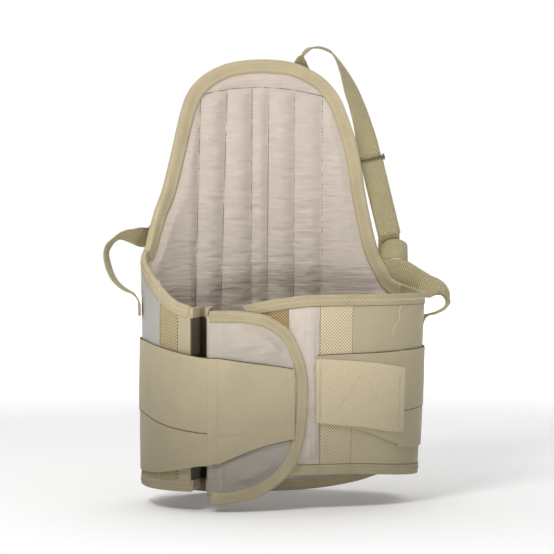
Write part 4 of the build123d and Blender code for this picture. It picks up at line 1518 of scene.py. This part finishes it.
def build_studio():
    scene = bpy.context.scene
    scene.view_settings.view_transform = "Standard"
    right = Vector((math.cos(CAMERA_TURN), math.sin(CAMERA_TURN), 0))
    ahead = Vector((-math.sin(CAMERA_TURN) * math.cos(CAMERA_RISE),
                    math.cos(CAMERA_TURN) * math.cos(CAMERA_RISE), -math.sin(CAMERA_RISE)))
    aim = Vector(tuple(SHIFT * MM)) + Vector((0, 0, AIM_HEIGHT)) - right * AIM_LEFT
    data = bpy.data.cameras.new("camera")
    data.lens = SENSOR_WIDTH * CAMERA_DISTANCE / FRAME_WIDTH
    camera = bpy.data.objects.new("camera", data)
    camera.location = aim - ahead * CAMERA_DISTANCE
    camera.rotation_euler = ahead.to_track_quat("-Z", "Y").to_euler()
    scene.collection.objects.link(camera)
    scene.camera = camera

    world = bpy.data.worlds.new("studio")
    scene.world = world
    world.use_nodes = True
    world.node_tree.nodes["Background"].inputs["Color"].default_value = (1, 1, 1, 1)
    world.node_tree.nodes["Background"].inputs["Strength"].default_value = 0.06

    for name, place, size, power in (
        ("key", (-0.95, -1.05, 1.5), 0.45, 14.0),
        ("low_front", (-0.1, -1.1, 0.1), 0.12, 3.4),
        ("overhead", (0.0, 0.2, 3.2), 7.0, 138.0),
    ):
        light_data = bpy.data.lights.new(name, "AREA")
        light_data.size = size
        light_data.energy = power
        light = bpy.data.objects.new(name, light_data)
        light.location = place
        aim_at = LIGHT_TARGET - Vector(place)
        light.rotation_euler = aim_at.to_track_quat("-Z", "Y").to_euler()
        scene.collection.objects.link(light)
    build_floor()
    build_backdrop(ahead)
    build_surround()


def plain_sheet(name, corners, colour, glow):
    mesh = bpy.data.meshes.new(name)
    quads = [(i, i + 1, i + 2, i + 3) for i in range(0, len(corners), 4)]
    mesh.from_pydata(corners, [], quads)
    sheet = bpy.data.objects.new(name, mesh)
    bpy.context.scene.collection.objects.link(sheet)
    material = bpy.data.materials.new(name)
    material.use_nodes = True
    surface = material.node_tree.nodes["Principled BSDF"]
    surface.inputs["Base Color"].default_value = colour
    surface.inputs["Roughness"].default_value = 0.9
    surface.inputs["Emission Color"].default_value = (1, 1, 1, 1)
    surface.inputs["Emission Strength"].default_value = glow
    mesh.materials.append(material)
    return sheet


def build_floor():
    """A white floor that stays as bright far off as it is under the lights."""
    half = FLOOR_HALF
    corners = [(-half, -half, 0), (half, -half, 0), (half, half, 0), (-half, half, 0)]
    floor = plain_sheet("floor", corners, (0.93, 0.93, 0.93, 1), 0.0)
    tree = floor.data.materials[0].node_tree
    place = tree.nodes.new("ShaderNodeTexCoord")
    distance = tree.nodes.new("ShaderNodeVectorMath")
    distance.operation = "LENGTH"
    glow = tree.nodes.new("ShaderNodeMapRange")
    glow.interpolation_type = "SMOOTHSTEP"
    for socket, value in (("From Min", 0.8), ("From Max", 2.6), ("To Min", 0.0), ("To Max", 0.8)):
        glow.inputs[socket].default_value = value
    tree.links.new(place.outputs["Object"], distance.inputs[0])
    tree.links.new(distance.outputs["Value"], glow.inputs["Value"])
    tree.links.new(glow.outputs["Result"], tree.nodes["Principled BSDF"].inputs["Emission Strength"])


def build_backdrop(ahead):
    """A bright white wall well behind the belt."""
    middle = Vector((ahead.x, ahead.y, 0)).normalized() * BACKDROP_AWAY
    across = Vector((-middle.y, middle.x, 0)).normalized() * BACKDROP_HALF
    low, high = Vector((0, 0, WALL_FOOT)), Vector((0, 0, BACKDROP_TALL))
    corners = [middle - across + low, middle + across + low, middle + across + high,
               middle - across + high]
    plain_sheet("backdrop", corners, (0.95, 0.95, 0.95, 1), 0.75)


def build_surround():
    """A plain pale wall on every side, which sheds no light on the belt."""
    rise = Vector((0, 0, SURROUND_TALL))
    turns = [math.tau * i / SURROUND_SIDES for i in range(SURROUND_SIDES + 1)]
    foot = [Vector((SURROUND_RADIUS * math.cos(a), SURROUND_RADIUS * math.sin(a), WALL_FOOT))
            for a in turns]
    corners = []
    for first, second in zip(foot, foot[1:]):
        corners += [first, second, second + rise, first + rise]
    wall = plain_sheet("surround", corners, (0, 0, 0, 1), 1.0)
    wall.visible_diffuse = False
    wall.visible_glossy = False
    wall.visible_shadow = False


build_back()
build_left_wall()
build_fold()
build_flap()
build_right_wall()
build_left_strap()
build_left_tab()
build_right_strap()
build_right_tab()
build_loose_thread()
build_shoulder("right", RIGHT_UPPER, RIGHT_RUN, RUN_ACROSS, RIGHT_LOWER)
build_shoulder("left", LEFT_UPPER, LEFT_RUN, LEFT_ACROSS, LEFT_LOWER)
finish_nodes()
build_studio()
